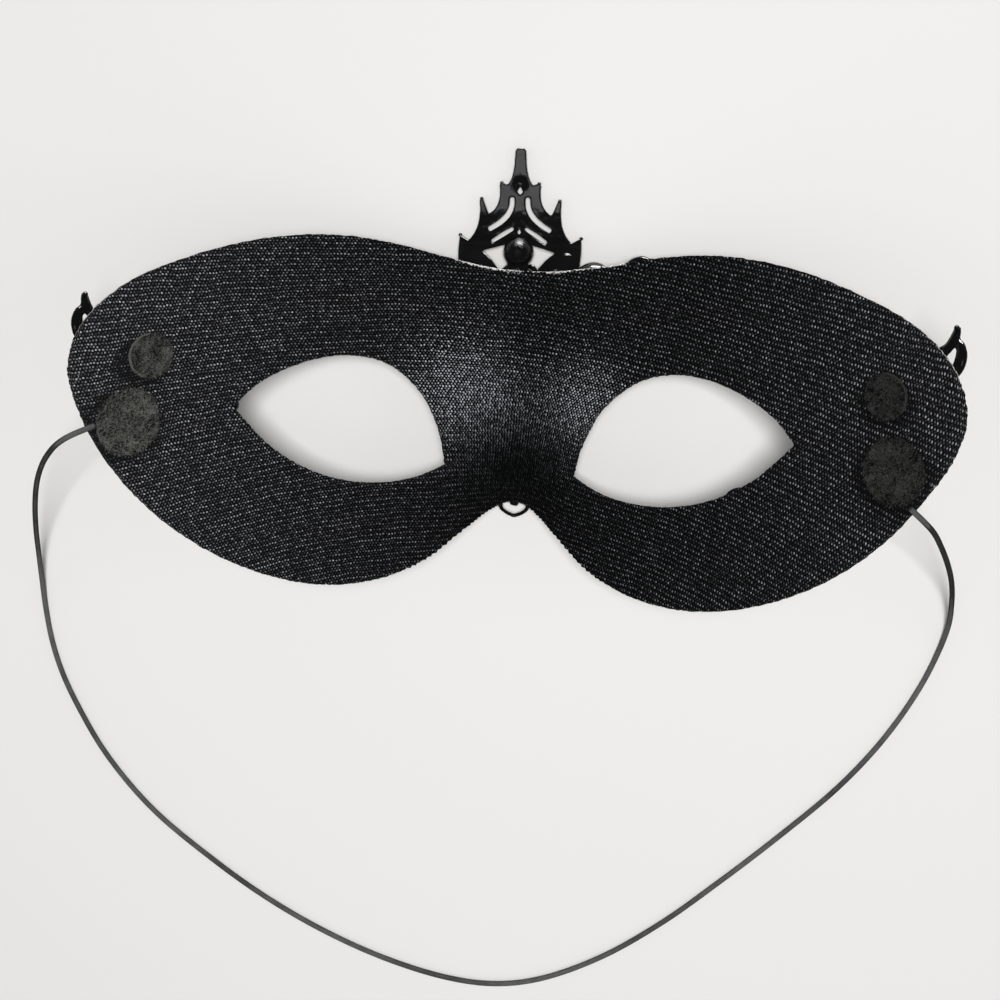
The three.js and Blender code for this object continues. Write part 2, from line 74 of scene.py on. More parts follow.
def onFace(x, y, lift):  # lift is above 0 inside the mask, below 0 in front of it
    h = 0.05
    slopeX = (faceHeight(x + h, y) - faceHeight(x - h, y)) / (2 * h)
    slopeY = (faceHeight(x, y + h) - faceHeight(x, y - h)) / (2 * h)
    normal = Vector((-slopeX, -slopeY, 1)).normalized()
    return Vector((x, y, faceHeight(x, y))) + normal * lift


def inFrame(point):
    return Vector((point[0], point[1] - face["middleY"], point[2])) * mm


def curvePoint(points, place, closed=False, even=False):  # a smooth line through all its points
    count = len(points)
    if not closed:
        place = min(max(place, 0), count - 1)
    start = min(int(place), count - 2) if not closed else math.floor(place)
    share = place - start
    near = []
    for step in (-1, 0, 1, 2):
        index = start + step
        if closed:
            near.append(Vector(points[index % count]))
        elif even:
            near.append(Vector(points[min(max(index, 0), count - 1)]))
        elif index < 0:
            near.append(2 * Vector(points[0]) - Vector(points[1]))
        elif index >= count:
            near.append(2 * Vector(points[-1]) - Vector(points[-2]))
        else:
            near.append(Vector(points[index]))
    gaps = [1, 1, 1] if even else [max((near[i + 1] - near[i]).length ** 0.5, 1e-4) for i in range(3)]
    before = (near[1] - near[0]) / gaps[0] - (near[2] - near[0]) / (gaps[0] + gaps[1])
    before = (before + (near[2] - near[1]) / gaps[1]) * gaps[1]
    after = (near[2] - near[1]) / gaps[1] - (near[3] - near[1]) / (gaps[1] + gaps[2])
    after = (after + (near[3] - near[2]) / gaps[2]) * gaps[1]
    two = share * share
    three = two * share
    point = near[1] * (2 * three - 3 * two + 1) + near[2] * (3 * two - 2 * three)
    return point + before * (three - 2 * two + share) + after * (three - two)


def flatPoints(points):
    return [Vector((x, y, 0)) for x, y in points]


def evenLine(points, count, **kind):  # points at equal distances along the smooth line
    fine = [curvePoint(points, (len(points) - 1) * i / (count * 8), **kind) for i in range(count * 8 + 1)]
    run = [0]
    for first, second in zip(fine, fine[1:]):
        run.append(run[-1] + (second - first).length)
    line = []
    at = 0
    for i in range(count + 1):
        wanted = run[-1] * i / count
        while at < len(run) - 2 and run[at + 1] < wanted:
            at += 1
        share = (wanted - run[at]) / max(run[at + 1] - run[at], 1e-9)
        line.append(fine[at].lerp(fine[at + 1], min(share, 1)))
    return line


def clearSelection():
    if bpy.context.object and bpy.context.object.mode != "OBJECT":
        bpy.ops.object.mode_set(mode="OBJECT")
    bpy.ops.object.select_all(action="DESELECT")


def choose(*objects):
    clearSelection()
    for piece in objects:
        piece.select_set(True)
    bpy.context.view_layer.objects.active = objects[0]


def applyModifier(piece, kind, **values):
    choose(piece)
    bpy.ops.object.modifier_add(type=kind)
    modifier = piece.modifiers[-1]
    for name, value in values.items():
        setattr(modifier, name, value)
    bpy.ops.object.modifier_apply(modifier=modifier.name)


def joinPieces(pieces, name):
    choose(*pieces)
    if len(pieces) > 1:
        bpy.ops.object.join()
    piece = bpy.context.object
    piece.name = name
    piece.data.name = name
    return piece


def mendMesh(piece, nearest):  # merges close points and turns the faces outward
    choose(piece)
    bpy.ops.object.mode_set(mode="EDIT")
    bpy.ops.mesh.select_all(action="SELECT")
    bpy.ops.mesh.remove_doubles(threshold=nearest)
    bpy.ops.mesh.normals_make_consistent(inside=False)
    bpy.ops.object.mode_set(mode="OBJECT")


def smoothShade(piece, degrees=None):
    choose(piece)
    if degrees is None:
        bpy.ops.object.shade_smooth()
    else:
        bpy.ops.object.shade_smooth_by_angle(angle=math.radians(degrees))


def drawLines(lines, closed=False, **settings):  # lines of (x, y, z, radius), as one mesh
    clearSelection()
    bpy.ops.curve.primitive_nurbs_path_add()
    curve = bpy.context.object.data
    for name, value in settings.items():
        setattr(curve, name, value)
    curve.splines.clear()
    for line in lines:
        spline = curve.splines.new("POLY")
        spline.points.add(len(line) - 1)
        for point, (x, y, z, radius) in zip(spline.points, line):
            point.co = (x, y, z, 1)
            point.radius = radius
        spline.use_cyclic_u = closed
    bpy.ops.object.convert(target="MESH")
    return bpy.context.object


def addHairs(hairs, thickness, material):  # fine threads through the given points
    lines = []
    for points in hairs:
        last = len(points) - 1
        lines.append([(*inFrame(point), 1 - 0.6 * i / last) for i, point in enumerate(points)])
    piece = drawLines(lines, bevel_depth=thickness / 2 * mm, bevel_resolution=0)
    setMaterial(piece, material)
    return piece


def finishPiece(piece, slot, *nodes):
    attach(piece, "root")
    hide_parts(*nodes)
    print(piece.name, "has", sum(len(polygon.vertices) - 2 for polygon in piece.data.polygons), "triangles")


# The camera looks down on the lined inside
camera = {
    "place": (0.02775, 0.04266, 0.39990),
    "turn": (-10.551, 5.082, 2.992),  # degrees
    "lens": 58.97,
}


def addCamera():
    turn = [math.radians(angle) for angle in camera["turn"]]
    bpy.ops.object.camera_add(location=camera["place"], rotation=turn)
    eye = bpy.context.object
    eye.name = "camera"
    eye.data.lens = camera["lens"]
    eye.data.sensor_width = 36
    eye.data.clip_start = 0.01
    bpy.context.scene.camera = eye
    print("camera in place")


# The elastic cord, from the left large disc down to the floor and round to the right one
cord = {
    "diameter": 1.3,
    "length": 475,
    "steps": 420,
    "sides": 14,
    "route": [
        (-90.7, 0.6, 50.4), (-92.3, -0.1, 51.9), (-95, -1.4, 52.7), (-98.6, -3.6, 50.3),
        (-102.6, -6.8, 45.3), (-106.5, -11, 39.6), (-110.3, -16.5, 32.6), (-113.9, -23.6, 24.2),
        (-117.2, -32, 14.8), (-119.4, -40.2, 7), (-120.3, -47.9, 2.4), (-119.9, -55.5, 0.9),
        (-118.3, -64.2, 0.7), (-115.6, -72.6, 0.7), (-111.6, -81, 0.7), (-103.7, -94, 0.7),
        (-91.5, -107.8, 0.7), (-75.3, -120.4, 0.7), (-59.1, -130.8, 0.7), (-42.6, -139, 0.7),
        (-26.4, -144.9, 0.7), (-10.8, -148.4, 0.7), (1.4, -148.9, 0.7), (13.2, -146.4, 0.7),
        (28.6, -138.9, 0.7), (43.6, -128, 0.7), (58.2, -114.8, 0.7), (72.4, -101, 0.7),
        (86, -86.6, 0.7), (95.8, -73.2, 0.7), (103, -59.8, 0.7), (106.7, -49.8, 1),
        (108, -42.6, 3), (107.2, -35.7, 8), (105, -28.9, 16.4), (101.6, -22.2, 26.4),
        (97.8, -16.2, 36), (94.6, -11.9, 43.5), (91.3, -8.6, 48.9), (88, -5.8, 49.9),
    ],
}


def makeCord():
    line = evenLine(cord["route"], cord["steps"])
    piece = drawLines(
        [[(*inFrame(spot), 1) for spot in line]], bevel_depth=cord["diameter"] / 2 * mm,
        bevel_resolution=cord["sides"] // 2 - 2, use_fill_caps=True,
    )
    piece.name = "elasticCord"
    smoothShade(piece, 50)
    setMaterial(piece, elasticBraid())
    finishPiece(piece, "elastic", "elastic_cord")
    inFrame(line[0])
    [inFrame(spot) for spot in line]
    print("cord in place")


# Materials. A Value is a shader socket, and each step of a formula on it is one Math node
class Value:
    def __init__(self, material, socket):
        self.material = material
        self.socket = socket

    def step(self, operation, *others, clamp=False):
        inputs = {f"_{i}": value for i, value in enumerate((self, *others))}
        node = addNode(self.material, "ShaderNodeMath", **inputs)
        node.operation = operation
        node.use_clamp = clamp
        return Value(self.material, node.outputs[0])

    def __add__(self, other):
        return self.step("ADD", other)

    def __sub__(self, other):
        return self.step("SUBTRACT", other)

    def __mul__(self, other):
        return self.step("MULTIPLY", other)

    def __truediv__(self, other):
        return self.step("DIVIDE", other)

    def __pow__(self, other):
        return self.step("POWER", other)

    def most(self, other):
        return self.step("MAXIMUM", other)

    def scaled(self, factor, added, clamp=False):
        return self.step("MULTIPLY_ADD", factor, added, clamp=clamp)


def newMaterial(name, **shaderValues):
    material = bpy.data.materials.new(name)
    material.use_nodes = True
    shader = material.node_tree.nodes["Principled BSDF"]
    for socket, value in shaderValues.items():
        shader.inputs[socket].default_value = value
    return material


def setMaterial(piece, *materials):
    piece.data.materials.clear()
    for material in materials:
        piece.data.materials.append(material)


def addNode(material, kind, **inputs):  # an input is given by its name, or by its number as _0, _1 and so on
    node = material.node_tree.nodes.new(kind)
    for name, value in inputs.items():
        socket = node.inputs[int(name[1:])] if name[0] == "_" else node.inputs[name]
        if isinstance(value, Value):
            material.node_tree.links.new(value.socket, socket)
        else:
            socket.default_value = value
    return node


def objectPlace(material):
    return Value(material, addNode(material, "ShaderNodeTexCoord").outputs["Object"])


def uvPlace(material):
    return Value(material, addNode(material, "ShaderNodeUVMap").outputs["UV"])


def parts(material, vector):  # its X, Y and Z
    node = addNode(material, "ShaderNodeSeparateXYZ", Vector=vector)
    return [Value(material, node.outputs[axis]) for axis in "XYZ"]


def attribute(material, name):
    node = addNode(material, "ShaderNodeAttribute")
    node.attribute_name = name
    return Value(material, node.outputs["Fac"])


def ramp(value, stops):  # stops are (place, grey) or (place, (r, g, b))
    node = addNode(value.material, "ShaderNodeValToRGB", Fac=value)
    elements = node.color_ramp.elements
    while len(elements) < len(stops):
        elements.new(0.5)
    for element, (place, colour) in zip(elements, stops):
        element.position = place
        element.color = (*((colour,) * 3 if isinstance(colour, (int, float)) else colour), 1)
    return Value(value.material, node.outputs["Color"])


def mixColours(share, first, second):  # each is a plain (r, g, b) or a Value
    node = addNode(share.material, "ShaderNodeMix", Factor=share)
    node.data_type = "RGBA"
    for socket, colour in ((node.inputs[6], first), (node.inputs[7], second)):
        if isinstance(colour, Value):
            share.material.node_tree.links.new(colour.socket, socket)
        else:
            socket.default_value = (*colour, 1)
    return Value(share.material, node.outputs[2])


def setShader(material, **links):
    shader = material.node_tree.nodes["Principled BSDF"]
    for name, value in links.items():
        material.node_tree.links.new(value.socket, shader.inputs[name.replace("_", " ")])


def bump(height, strength, distance):
    sockets = {"Height": height, "Strength": strength, "Distance": distance * mm}
    node = addNode(height.material, "ShaderNodeBump", **sockets)
    return Value(height.material, node.outputs["Normal"])


def noiseAt(place, scale, detail=2, roughness=0.5, output="Fac"):
    node = addNode(
        place.material, "ShaderNodeTexNoise", Vector=place, Scale=scale, Detail=detail, Roughness=roughness,
    )
    return Value(place.material, node.outputs[output])


# The lining's knit. Its UV map counts the stitches: across in X, rows in Y
knit = {
    "stitch": 0.785, "row": 1.16, "rowGrowth": 0.000027,  # millimetres; the rows open towards the wings
    "tilt": -0.07, "swing": -0.24, "swingReach": 55, "level": 8,  # how the rows run across the face
    "gap": (0.0016, 0.0017, 0.0018), "thread": (0.42, 0.43, 0.46),
    "threadGloss": 0.42, "threadIor": 1.5,
    "paintedSheen": 0.25, "paintedSheenGrows": 64, "paintedSheenLeastAt": 12,  # painted light: the knit is painted darker in the middle and brighter out to the wings, in millimetres from the midline
    "haze": 1.1,  # fine fuzz over the gaps, with painted light growing the same way
    "wide": 0.33, "wideFalls": 0.45, "tall": 0.22, "tallGrows": 0.6,  # the loops lie flatter on the left wing
    "secondShare": 0.24, "secondFalls": 2.4, "secondLeast": 0.14,
    "secondWide": 0.3, "secondTall": 0.19,
    "dimmest": 0.25, "unevenness": 1.35, "brightAreFew": 2.2,  # how the brightness differs from loop to loop
    "wanderAcross": 1.6, "wanderUp": 0.9,  # in stitches and in rows
    "ribs": (0, -4, 15),  # x, y and reach of the part where the loops line up into upright ribs
    "paintedSheenSpots": [(-13.5, 9, 12, 1.8), (16, 7, 11, 1.3)],  # x, y, reach and added painted sheen beside the nose
    "noseFoldShade": (0, -10, 18, 0.92),  # x, y, reach and depth of the painted shade in the fold of the nose
    "discShadowSide": (-0.8, -1.3), "discShadowDepth": 0.75,  # where the painted shadow lies beside a disc, and how dark it is
}


def nearTo(x, y, spotX, spotY, reach):  # 1 at a place on the face, fading to 0 round it
    square = (x - spotX * mm) ** 2.0 + (y - (spotY - face["middleY"]) * mm) ** 2.0
    return (square * (-1 / (reach * mm) ** 2)).step("EXPONENT")


def yarnLoops(across, up, wide, tall, lean, seed):  # one loop of yarn in each cell, no two alike
    material = across.material
    corner = {"X": across.step("FLOOR"), "Y": up.step("FLOOR"), "Z": seed}
    cell = Value(material, addNode(material, "ShaderNodeCombineXYZ", **corner).outputs["Vector"])
    dice = addNode(material, "ShaderNodeTexWhiteNoise", Vector=cell)
    shiftX, shiftY, _ = parts(material, Value(material, dice.outputs["Color"]))
    upward = shiftY.scaled(0.16, up.step("FRACT") - 0.58)
    sideways = upward.scaled(lean, shiftX.scaled(0.2, across.step("FRACT") - 0.6))
    outside = (sideways / wide) ** 2.0 + (upward / tall) ** 2.0
    loop = outside.scaled(-1.0, 1.0, clamp=True)
    chance = Value(material, dice.outputs["Value"]) ** knit["brightAreFew"]
    return loop, loop * chance.scaled(knit["unevenness"], knit["dimmest"])


def knitThread(x, y, place, across, up):  # how much bright yarn shows, with painted sheen and painted shade, and the knit's relief
    ribbed = nearTo(x, y, *knit["ribs"])
    # painted highlight: sheen is painted onto the knit beside the nose
    sheenSpots = [(nearTo(x, y, *pull[:3]), pull[3]) for pull in knit["paintedSheenSpots"]]
    nearSheen = sheenSpots[0][0].step("ADD", sheenSpots[1][0], clamp=True)
    wide = x.scaled(-knit["wideFalls"], knit["wide"])
    tall = ribbed.scaled(0.16, x.scaled(knit["tallGrows"], knit["tall"]))
    firstHeight, first = yarnLoops(across, up, wide, tall, 0.25, 1.0)
    halfAcross = across + ribbed.scaled(-0.3, 0.5)
    tallSecond = ribbed.scaled(0.15, knit["secondTall"])
    secondHeight, second = yarnLoops(halfAcross, up + 0.5, knit["secondWide"], tallSecond, -0.2, 5.0)
    share = x.scaled(-knit["secondFalls"], knit["secondShare"]).most(knit["secondLeast"])
    share = share.most(ribbed.most(nearSheen))
    fuzz = noiseAt(place, 3200, 3, 0.75)
    thread = first.most(second * share) * fuzz.scaled(4.4, -1.1)
    # painted light: the yarn is painted brighter the further it lies from the middle
    aside = (x - knit["paintedSheenLeastAt"] * mm) ** 2.0
    paintedSheen = aside.scaled(knit["paintedSheenGrows"], knit["paintedSheen"])
    for near, added in sheenSpots:
        paintedSheen = near.scaled(added, paintedSheen)
    # painted shade in the fold of the nose
    spotX, spotY, reach, shadeDepth = knit["noseFoldShade"]
    unshadedShare = nearTo(x, y, spotX, spotY, reach).scaled(-shadeDepth, 1.0)
    for disc in discs:  # painted shadow: the knit is painted dark on the lower left of each disc
        spotX, spotY = disc["x"] + knit["discShadowSide"][0], disc["y"] + knit["discShadowSide"][1]
        near = nearTo(x, y, spotX, spotY, disc["radius"] * 0.95).scaled(4.5, -0.75, clamp=True)
        unshadedShare = unshadedShare * near.scaled(-knit["discShadowDepth"], 1.0)
    thread = aside.scaled(knit["haze"], thread * paintedSheen * unshadedShare, clamp=True)
    return thread, fuzz.scaled(0.5, firstHeight.most(secondHeight * 0.7))


def liningKnit():
    material = newMaterial("lining knit", **{
        "Roughness": 0.9, "Specular IOR Level": 0.03,
        "Coat Roughness": knit["threadGloss"], "Coat IOR": knit["threadIor"],
    })
    place = objectPlace(material)
    x, y, _ = parts(material, place)
    stitchPlace, rowPlace, _ = parts(material, uvPlace(material))
    wander = noiseAt(place, 95, 1)  # the rows wander a little, and so do the stitches
    across = wander.scaled(knit["wanderAcross"], stitchPlace)
    up = wander.scaled(-knit["wanderUp"], rowPlace)
    thread, relief = knitThread(x, y, place, across, up)
    # the knit is drawn over the cut edges, and the board's pale fibres show where it ends, painted paler as a
    # highlight on the edges that face up
    paleReach = (noiseAt(place, 1500, 3, 0.7) - 0.5).scaled(shell["wornBy"], shell["wornReach"])
    paleReach = (noiseAt(place, 110, 2, 0.5) - 0.5).scaled(shell["wornPatch"], paleReach)
    bareAndLit = paleReach * attribute(material, "frayedAndLit") - attribute(material, "rim")
    bareAndLit = bareAndLit.step("DIVIDE", 0.09, clamp=True)
    board = ramp(noiseAt(place, 4200, 3, 0.7), [(0.36, (0.2, 0.195, 0.18)), (0.56, (0.9, 0.89, 0.86))])
    colour = mixColours(bareAndLit, mixColours(thread, knit["gap"], knit["thread"]), board)
    normal = bump(relief, 0.8, 0.2)
    weight = thread * bareAndLit.scaled(-1.0, 1.0)
    setShader(material, Base_Color=colour, Coat_Weight=weight, Normal=normal, Coat_Normal=normal)
    return material


def frontCloth():
    material = newMaterial("front cloth", **{
        "Roughness": 0.8, "Specular IOR Level": 0.3, "Sheen Weight": 0.35, "Sheen Roughness": 0.4,
    })
    place = uvPlace(material)
    weave = addNode(material, "ShaderNodeTexWave", Vector=place, Scale=0.6, Distortion=1.5, Detail=1.0)
    mixed = Value(material, weave.outputs["Fac"]) * noiseAt(place, 1.6, 3, 0.6)
    setShader(material, Base_Color=ramp(mixed, [(0.1, 0.006), (0.6, 0.022)]), Normal=bump(mixed, 0.6, 0.1))
    return material


def fibre(name, dark, light):
    material = newMaterial(name, **{"Roughness": 0.75, "Specular IOR Level": 0.25})
    tone = noiseAt(objectPlace(material), 1400, 2, 0.6)
    setShader(material, Base_Color=ramp(tone, [(0.35, dark), (0.65, light)]))
    return material


feltLook = {
    # degrees, then strands per metre across and along
    "turns": [(52, 2600, 620), (74, 2200, 700), (-8, 2900, 900), (128, 2500, 800)],
    "narrow": 11, "bendScale": 260, "bend": 0.0016,
    "fibres": 0.26, "clumps": 0.85, "patches": 0.5, "litRim": 0.8,  # how much each shows
    "stops": [(0.36, 0.2), (0.5, 0.65), (0.66, 1.9), (1.0, 11)],  # shares of the disc's tone
}


def felt(name, tone):
    material = newMaterial(name, **{
        "Roughness": 0.95, "Specular IOR Level": 0.03,
        "Sheen Weight": 0.01, "Sheen Roughness": 0.5, "Sheen Tint": (0.8, 0.8, 0.76, 1),
    })
    place = objectPlace(material)
    bend = noiseAt(place, feltLook["bendScale"], 1, output="Color")
    bent = addNode(material, "ShaderNodeVectorMath", _0=bend, _1=(feltLook["bend"], feltLook["bend"], 0.0))
    bent.operation = "MULTIPLY"
    moved = addNode(material, "ShaderNodeVectorMath", _0=Value(material, bent.outputs[0]), _1=place)
    fibres = None
    for turn, across, along in feltLook["turns"]:
        turned = addNode(material, "ShaderNodeMapping", Vector=Value(material, moved.outputs[0]))
        turned.vector_type = "TEXTURE"
        turned.inputs["Rotation"].default_value = (0, 0, math.radians(turn))
        turned.inputs["Scale"].default_value = (1 / along, 1 / across, 1 / along)
        strand = noiseAt(Value(material, turned.outputs["Vector"]), 1.0, 2, 0.6)
        line = (strand - 0.5).step("ABSOLUTE").scaled(-feltLook["narrow"], 1.0, clamp=True) ** 2.0
        fibres = fibres + line if fibres else line
    clumped = (noiseAt(place, 170, 2, 0.5) - 0.5).scaled(feltLook["patches"], noiseAt(place, 380, 3, 0.6))
    clumped = attribute(material, "litRim").scaled(feltLook["litRim"], clumped)
    both = fibres.scaled(feltLook["fibres"], clumped * feltLook["clumps"])
    stops = [(at, tuple(part * share for part in tone)) for at, share in feltLook["stops"]]
    setShader(material, Base_Color=ramp(both, stops), Normal=bump(both, 0.9, 0.25))
    return material


def blackLacquer(name, pits, pitScale):
    material = newMaterial(name, **{
        "Base Color": (0.003, 0.003, 0.0032, 1), "Specular IOR Level": 0.5,
    })
    place = objectPlace(material)
    rough = noiseAt(place, 160, 2, 0.5).scaled(0.14, 0.06)
    setShader(material, Roughness=rough, Normal=bump(noiseAt(place, pitScale, 3, 0.6), pits, 0.12))
    return material


braid = {
    "turns": 4, "pitch": 1.1,  # strands round the cord, and millimetres for one wave of the plait
    "paler": 5,  # painted light: it is paler the higher it rises towards the discs, per metre of height
    "mottle": 0.6, "mottleScale": 300,
}


def elasticBraid():
    material = newMaterial("elastic braid", **{
        "Roughness": 0.8, "Specular IOR Level": 0.2,
    })
    across, run, _ = parts(material, uvPlace(material))
    across = across * braid["turns"]
    along = run * (cord["length"] / braid["pitch"])
    left = ((along + across) * (2 * math.pi)).step("SINE")
    right = ((along - across) * (2 * math.pi)).step("SINE")
    plait = left.most(right).scaled(0.5, 0.5)
    # painted highlight: paler where the cord faces the camera, darker at its sides
    weight = addNode(material, "ShaderNodeLayerWeight", Blend=0.5)
    lit = Value(material, weight.outputs["Facing"]).scaled(-1.9, 1.9, clamp=True) ** 2.2
    place = objectPlace(material)
    height = parts(material, place)[2]
    # painted light: the painted highlight, and paler higher up
    tone = lit * plait.scaled(0.5, 0.5) * height.scaled(braid["paler"], 1.0)
    tone = (noiseAt(place, braid["mottleScale"], 3, 0.6) - 0.5).scaled(braid["mottle"], tone)
    colour = ramp(tone, [(0.2, 0.004), (0.6, 0.03), (1.0, 0.125)])
    setShader(material, Base_Color=colour, Normal=bump(plait, 0.5, 0.1))
    return material


def paleFloor():
    return newMaterial("pale floor", **{
        "Base Color": (0.80, 0.79, 0.775, 1), "Roughness": 0.75, "Specular IOR Level": 0.2,
    })


# The moulded shell: a grid laid round each eye hole, out to that half's edge
shell = {
    "around": 460, "rings": 22, "bevel": 0.3,
    "halfOutline": [
        (0, -18.6), (4.5, -19.6), (11, -24), (20, -31.4), (30, -35.9), (42, -37.4), (55, -35),
        (68, -28.8), (80, -18.8), (89.3, -6.3), (94.8, 6), (96.4, 15), (93.6, 24.2), (86.8, 31.8),
        (75, 38), (61, 42.3), (46, 43.9), (32, 42.6), (19, 39.9), (8, 38), (0, 37.6),
    ],
    "rightReach": 0.8,  # the right wing's upper half reaches this much further out than the left's
    "wing": 10.3,  # where each ring starts, counted in the outline's points
    "runs": [24, 11, 3, 24],  # shares of the edge: brow, upper midline, lower midline, cheek
    "noseFacing": -8,  # the height on the midline that faces the inner corner of the eye
    "eyeTop": [
        (64.7, 3.6), (60, 8.8), (53, 13), (45, 15.7), (37, 16.2), (29, 13.8), (21.5, 7.2), (17, -1.5),
        (15.1, -9.3),
    ],
    "eyeBottom": [(15.1, -9.3), (22.5, -12.5), (31, -14), (40, -13.4), (49, -10.2), (57, -4.8), (64.7, 3.6)],
    "eyeFixed": (64.7, 16.3), "eyeCutRight": 1.02, "eyeCutLeft": 0.98,
    "fray": 0.22, "frayEvery": 0.75, "hairsPerStep": 2, "eyeEdgeLit": 0.45,
    "edgeSteps": [0, 0.6, 2],  # the rings next to an edge, in millimetres from it
    "wornReach": 0.75, "wornBy": 1.3, "wornPatch": 0.8, "wornGrows": 0.1,
    "crestBareAndLit": 1.35,  # the board shows more along the edge under the crest, partly as a painted highlight on that top edge
    "teeth": 0.17,  # the knit's row ends stand out along the arch over the nose
    "lint": [(-2.8, 37.4, 1.6, 16), (7, 38.2, 0.5, 5), (23.5, 42, 1.0, 6), (92.9, -0.7, 0.3, 6)],
    "longThread": [(-94.8, 12.2), (-94.9, 11.2), (-95.2, 10.4), (-95.5, 9.9), (-95.9, 9.8)],
}


def clothTable():  # true lengths across the face from the midline, every 2 mm of height
    table = []
    for step in range(46):
        y = -44 + 2 * step
        run = [0]
        for x in range(1, 102):
            run.append(run[-1] + math.hypot(1, faceHeight(x, y) - faceHeight(x - 1, y)))
        table.append(run)
    return table


clothLengths = clothTable()


def clothAt(x, y):  # the stitch and the row at a place on the face
    row = min(max((y + 44) / 2, 0), 44.999)
    column = min(abs(x), 100.999)
    j, i = int(row), int(column)
    near = blendTo(clothLengths[j][i], clothLengths[j][i + 1], column - i)
    far = blendTo(clothLengths[j + 1][i], clothLengths[j + 1][i + 1], column - i)
    along = math.copysign(blendTo(near, far, row - j), x)
    reach = knit["swingReach"]
    rise = y - knit["level"]
    slope = knit["tilt"] + knit["swing"] * math.sin(along / reach)
    drop = knit["tilt"] * along + knit["swing"] * reach * (1 - math.cos(along / reach))
    rowHeight = knit["row"] + knit["rowGrowth"] * along ** 2
    return (along + slope * rise) / knit["stitch"], (rise - drop) / rowHeight


def halfLoops(side):  # the eye hole's line and the outer line of one half, point for point
    outline = flatPoints(shell["halfOutline"])
    whole = outline + [Vector((-p.x, p.y, 0)) for p in reversed(outline[1:-1])]
    brow = len(outline) - 1
    browRun, upperRun, lowerRun, cheekRun = shell["runs"]
    total = sum(shell["runs"])
    count = shell["around"]
    upper = round(count * (browRun + upperRun) / total)
    edge = []
    for i in range(count + 1):
        at = total * i / count
        if at <= browRun:
            edge.append(curvePoint(whole, blendTo(shell["wing"], brow, at / browRun), closed=True))
        elif at <= browRun + upperRun:
            share = (at - browRun) / upperRun
            edge.append(Vector((0, blendTo(outline[-1].y, shell["noseFacing"], share), 0)))
        elif at <= total - cheekRun:
            share = (at - browRun - upperRun) / lowerRun
            edge.append(Vector((0, blendTo(shell["noseFacing"], outline[0].y, share), 0)))
        else:
            share = (at - total + cheekRun) / cheekRun
            edge.append(curvePoint(whole, shell["wing"] * share, closed=True))
    if side > 0:
        for spot in edge:
            spot.x += shell["rightReach"] * smooth(spot.x, 70, 95) * smooth(spot.y, -8, 8)
    top = evenLine(flatPoints(shell["eyeTop"]), upper, even=True)
    bottom = evenLine(flatPoints(shell["eyeBottom"]), count - upper, even=True)
    cut = shell["eyeCutRight"] if side > 0 else shell["eyeCutLeft"]
    fixed = Vector((*shell["eyeFixed"], 0))
    eye = [fixed + (point - fixed) * cut for point in top[:-1] + bottom]
    return eye, edge


def freeEdges(loops):  # each step of the cut edges: its side, 1 for an eye hole or -1, and its two ends
    for side, eye, edge in loops:
        for line, hole in ((eye, 1), (edge, -1)):
            for first, second in zip(line, line[1:]):
                onMidline = line is edge and min(first.x, second.x) < 0.01 and -18 < first.y < 37
                if not onMidline:
                    yield side, hole, first, second


def rimTree(loops):  # the free edges as close points, with how far each is frayed and painted pale, a painted highlight on the edges that face up, and which way is out
    spots, litEdgeShares, outs = [], [], []
    for side, hole, first, second in freeEdges(loops):
        run = second - first
        paleReach = shell["eyeEdgeLit"] if hole > 0 else 1
        # painted highlight: the edges that face up are given a pale share
        facing = hole * paleReach * run.x / max(run.length, 1e-6)
        out = Vector((-run.y, run.x)).normalized() * hole
        steps = max(1, math.ceil(run.length / 0.1))
        for i in range(steps):
            spot = first.lerp(second, i / steps)
            spots.append(Vector((side * spot.x, spot.y, 0)))
            litEdgeShares.append(smooth(facing, 0.1, 0.6) * paleReach)
            outs.append(Vector((side * out.x, out.y)))
    tree = kdtree.KDTree(len(spots))
    for index, spot in enumerate(spots):
        tree.insert(spot, index)
    tree.balance()
    return tree, litEdgeShares, outs


def fringe(loops, tree, litEdgeShares):  # ends of yarn and board fibre, from just past each cut edge inward
    dark, pale = [], []
    for side, hole, first, second in freeEdges(loops):
        run = second - first
        for _ in range(shell["hairsPerStep"]):
            spot = first.lerp(second, random.random())
            inward = Vector((-run.y, run.x, 0)).normalized() * -hole
            lean = random.gauss(0, 0.8)
            heading = (inward + run.normalized() * lean).normalized()
            length = random.uniform(0.25, 0.7)
            frayedAndLit = litEdgeShares[tree.find(Vector((side * spot.x, spot.y, 0)))[1]]
            # pale fibres go mostly where the edge is painted pale as a highlight
            light = random.random() < frayedAndLit * 0.75
            lift = random.uniform(-0.85, -0.5) if light else random.uniform(-0.8, 0.9)
            rise = random.uniform(-0.1, 0.3)
            points = []
            for step in range(3):
                reach = spot + heading * (length * step / 2 - 0.15) + inward * shell["wornGrows"] * frayedAndLit
                points.append(onFace(side * reach.x, reach.y, lift + rise * step / 2))
            (pale if light else dark).append(points)
    return dark, pale


def lint():  # a few pale threads caught along the edge
    threads = []
    for x, y, reach, count in shell["lint"]:
        for _ in range(count):
            heading = random.uniform(0, 2 * math.pi)
            bend = random.uniform(-1.2, 1.2)
            spot = Vector((x + random.uniform(-reach, reach), y + random.uniform(-0.3, 0.3)))
            points = []
            for step in range(6):
                points.append(onFace(spot.x, spot.y, 0.98 + 0.05 * math.sin(step)))
                spot += Vector((math.cos(heading), math.sin(heading))) * 0.16
                heading += bend * 0.4
            threads.append(points)
    threads.append([onFace(x, y, 0.97) for x, y in shell["longThread"]])
    return threads


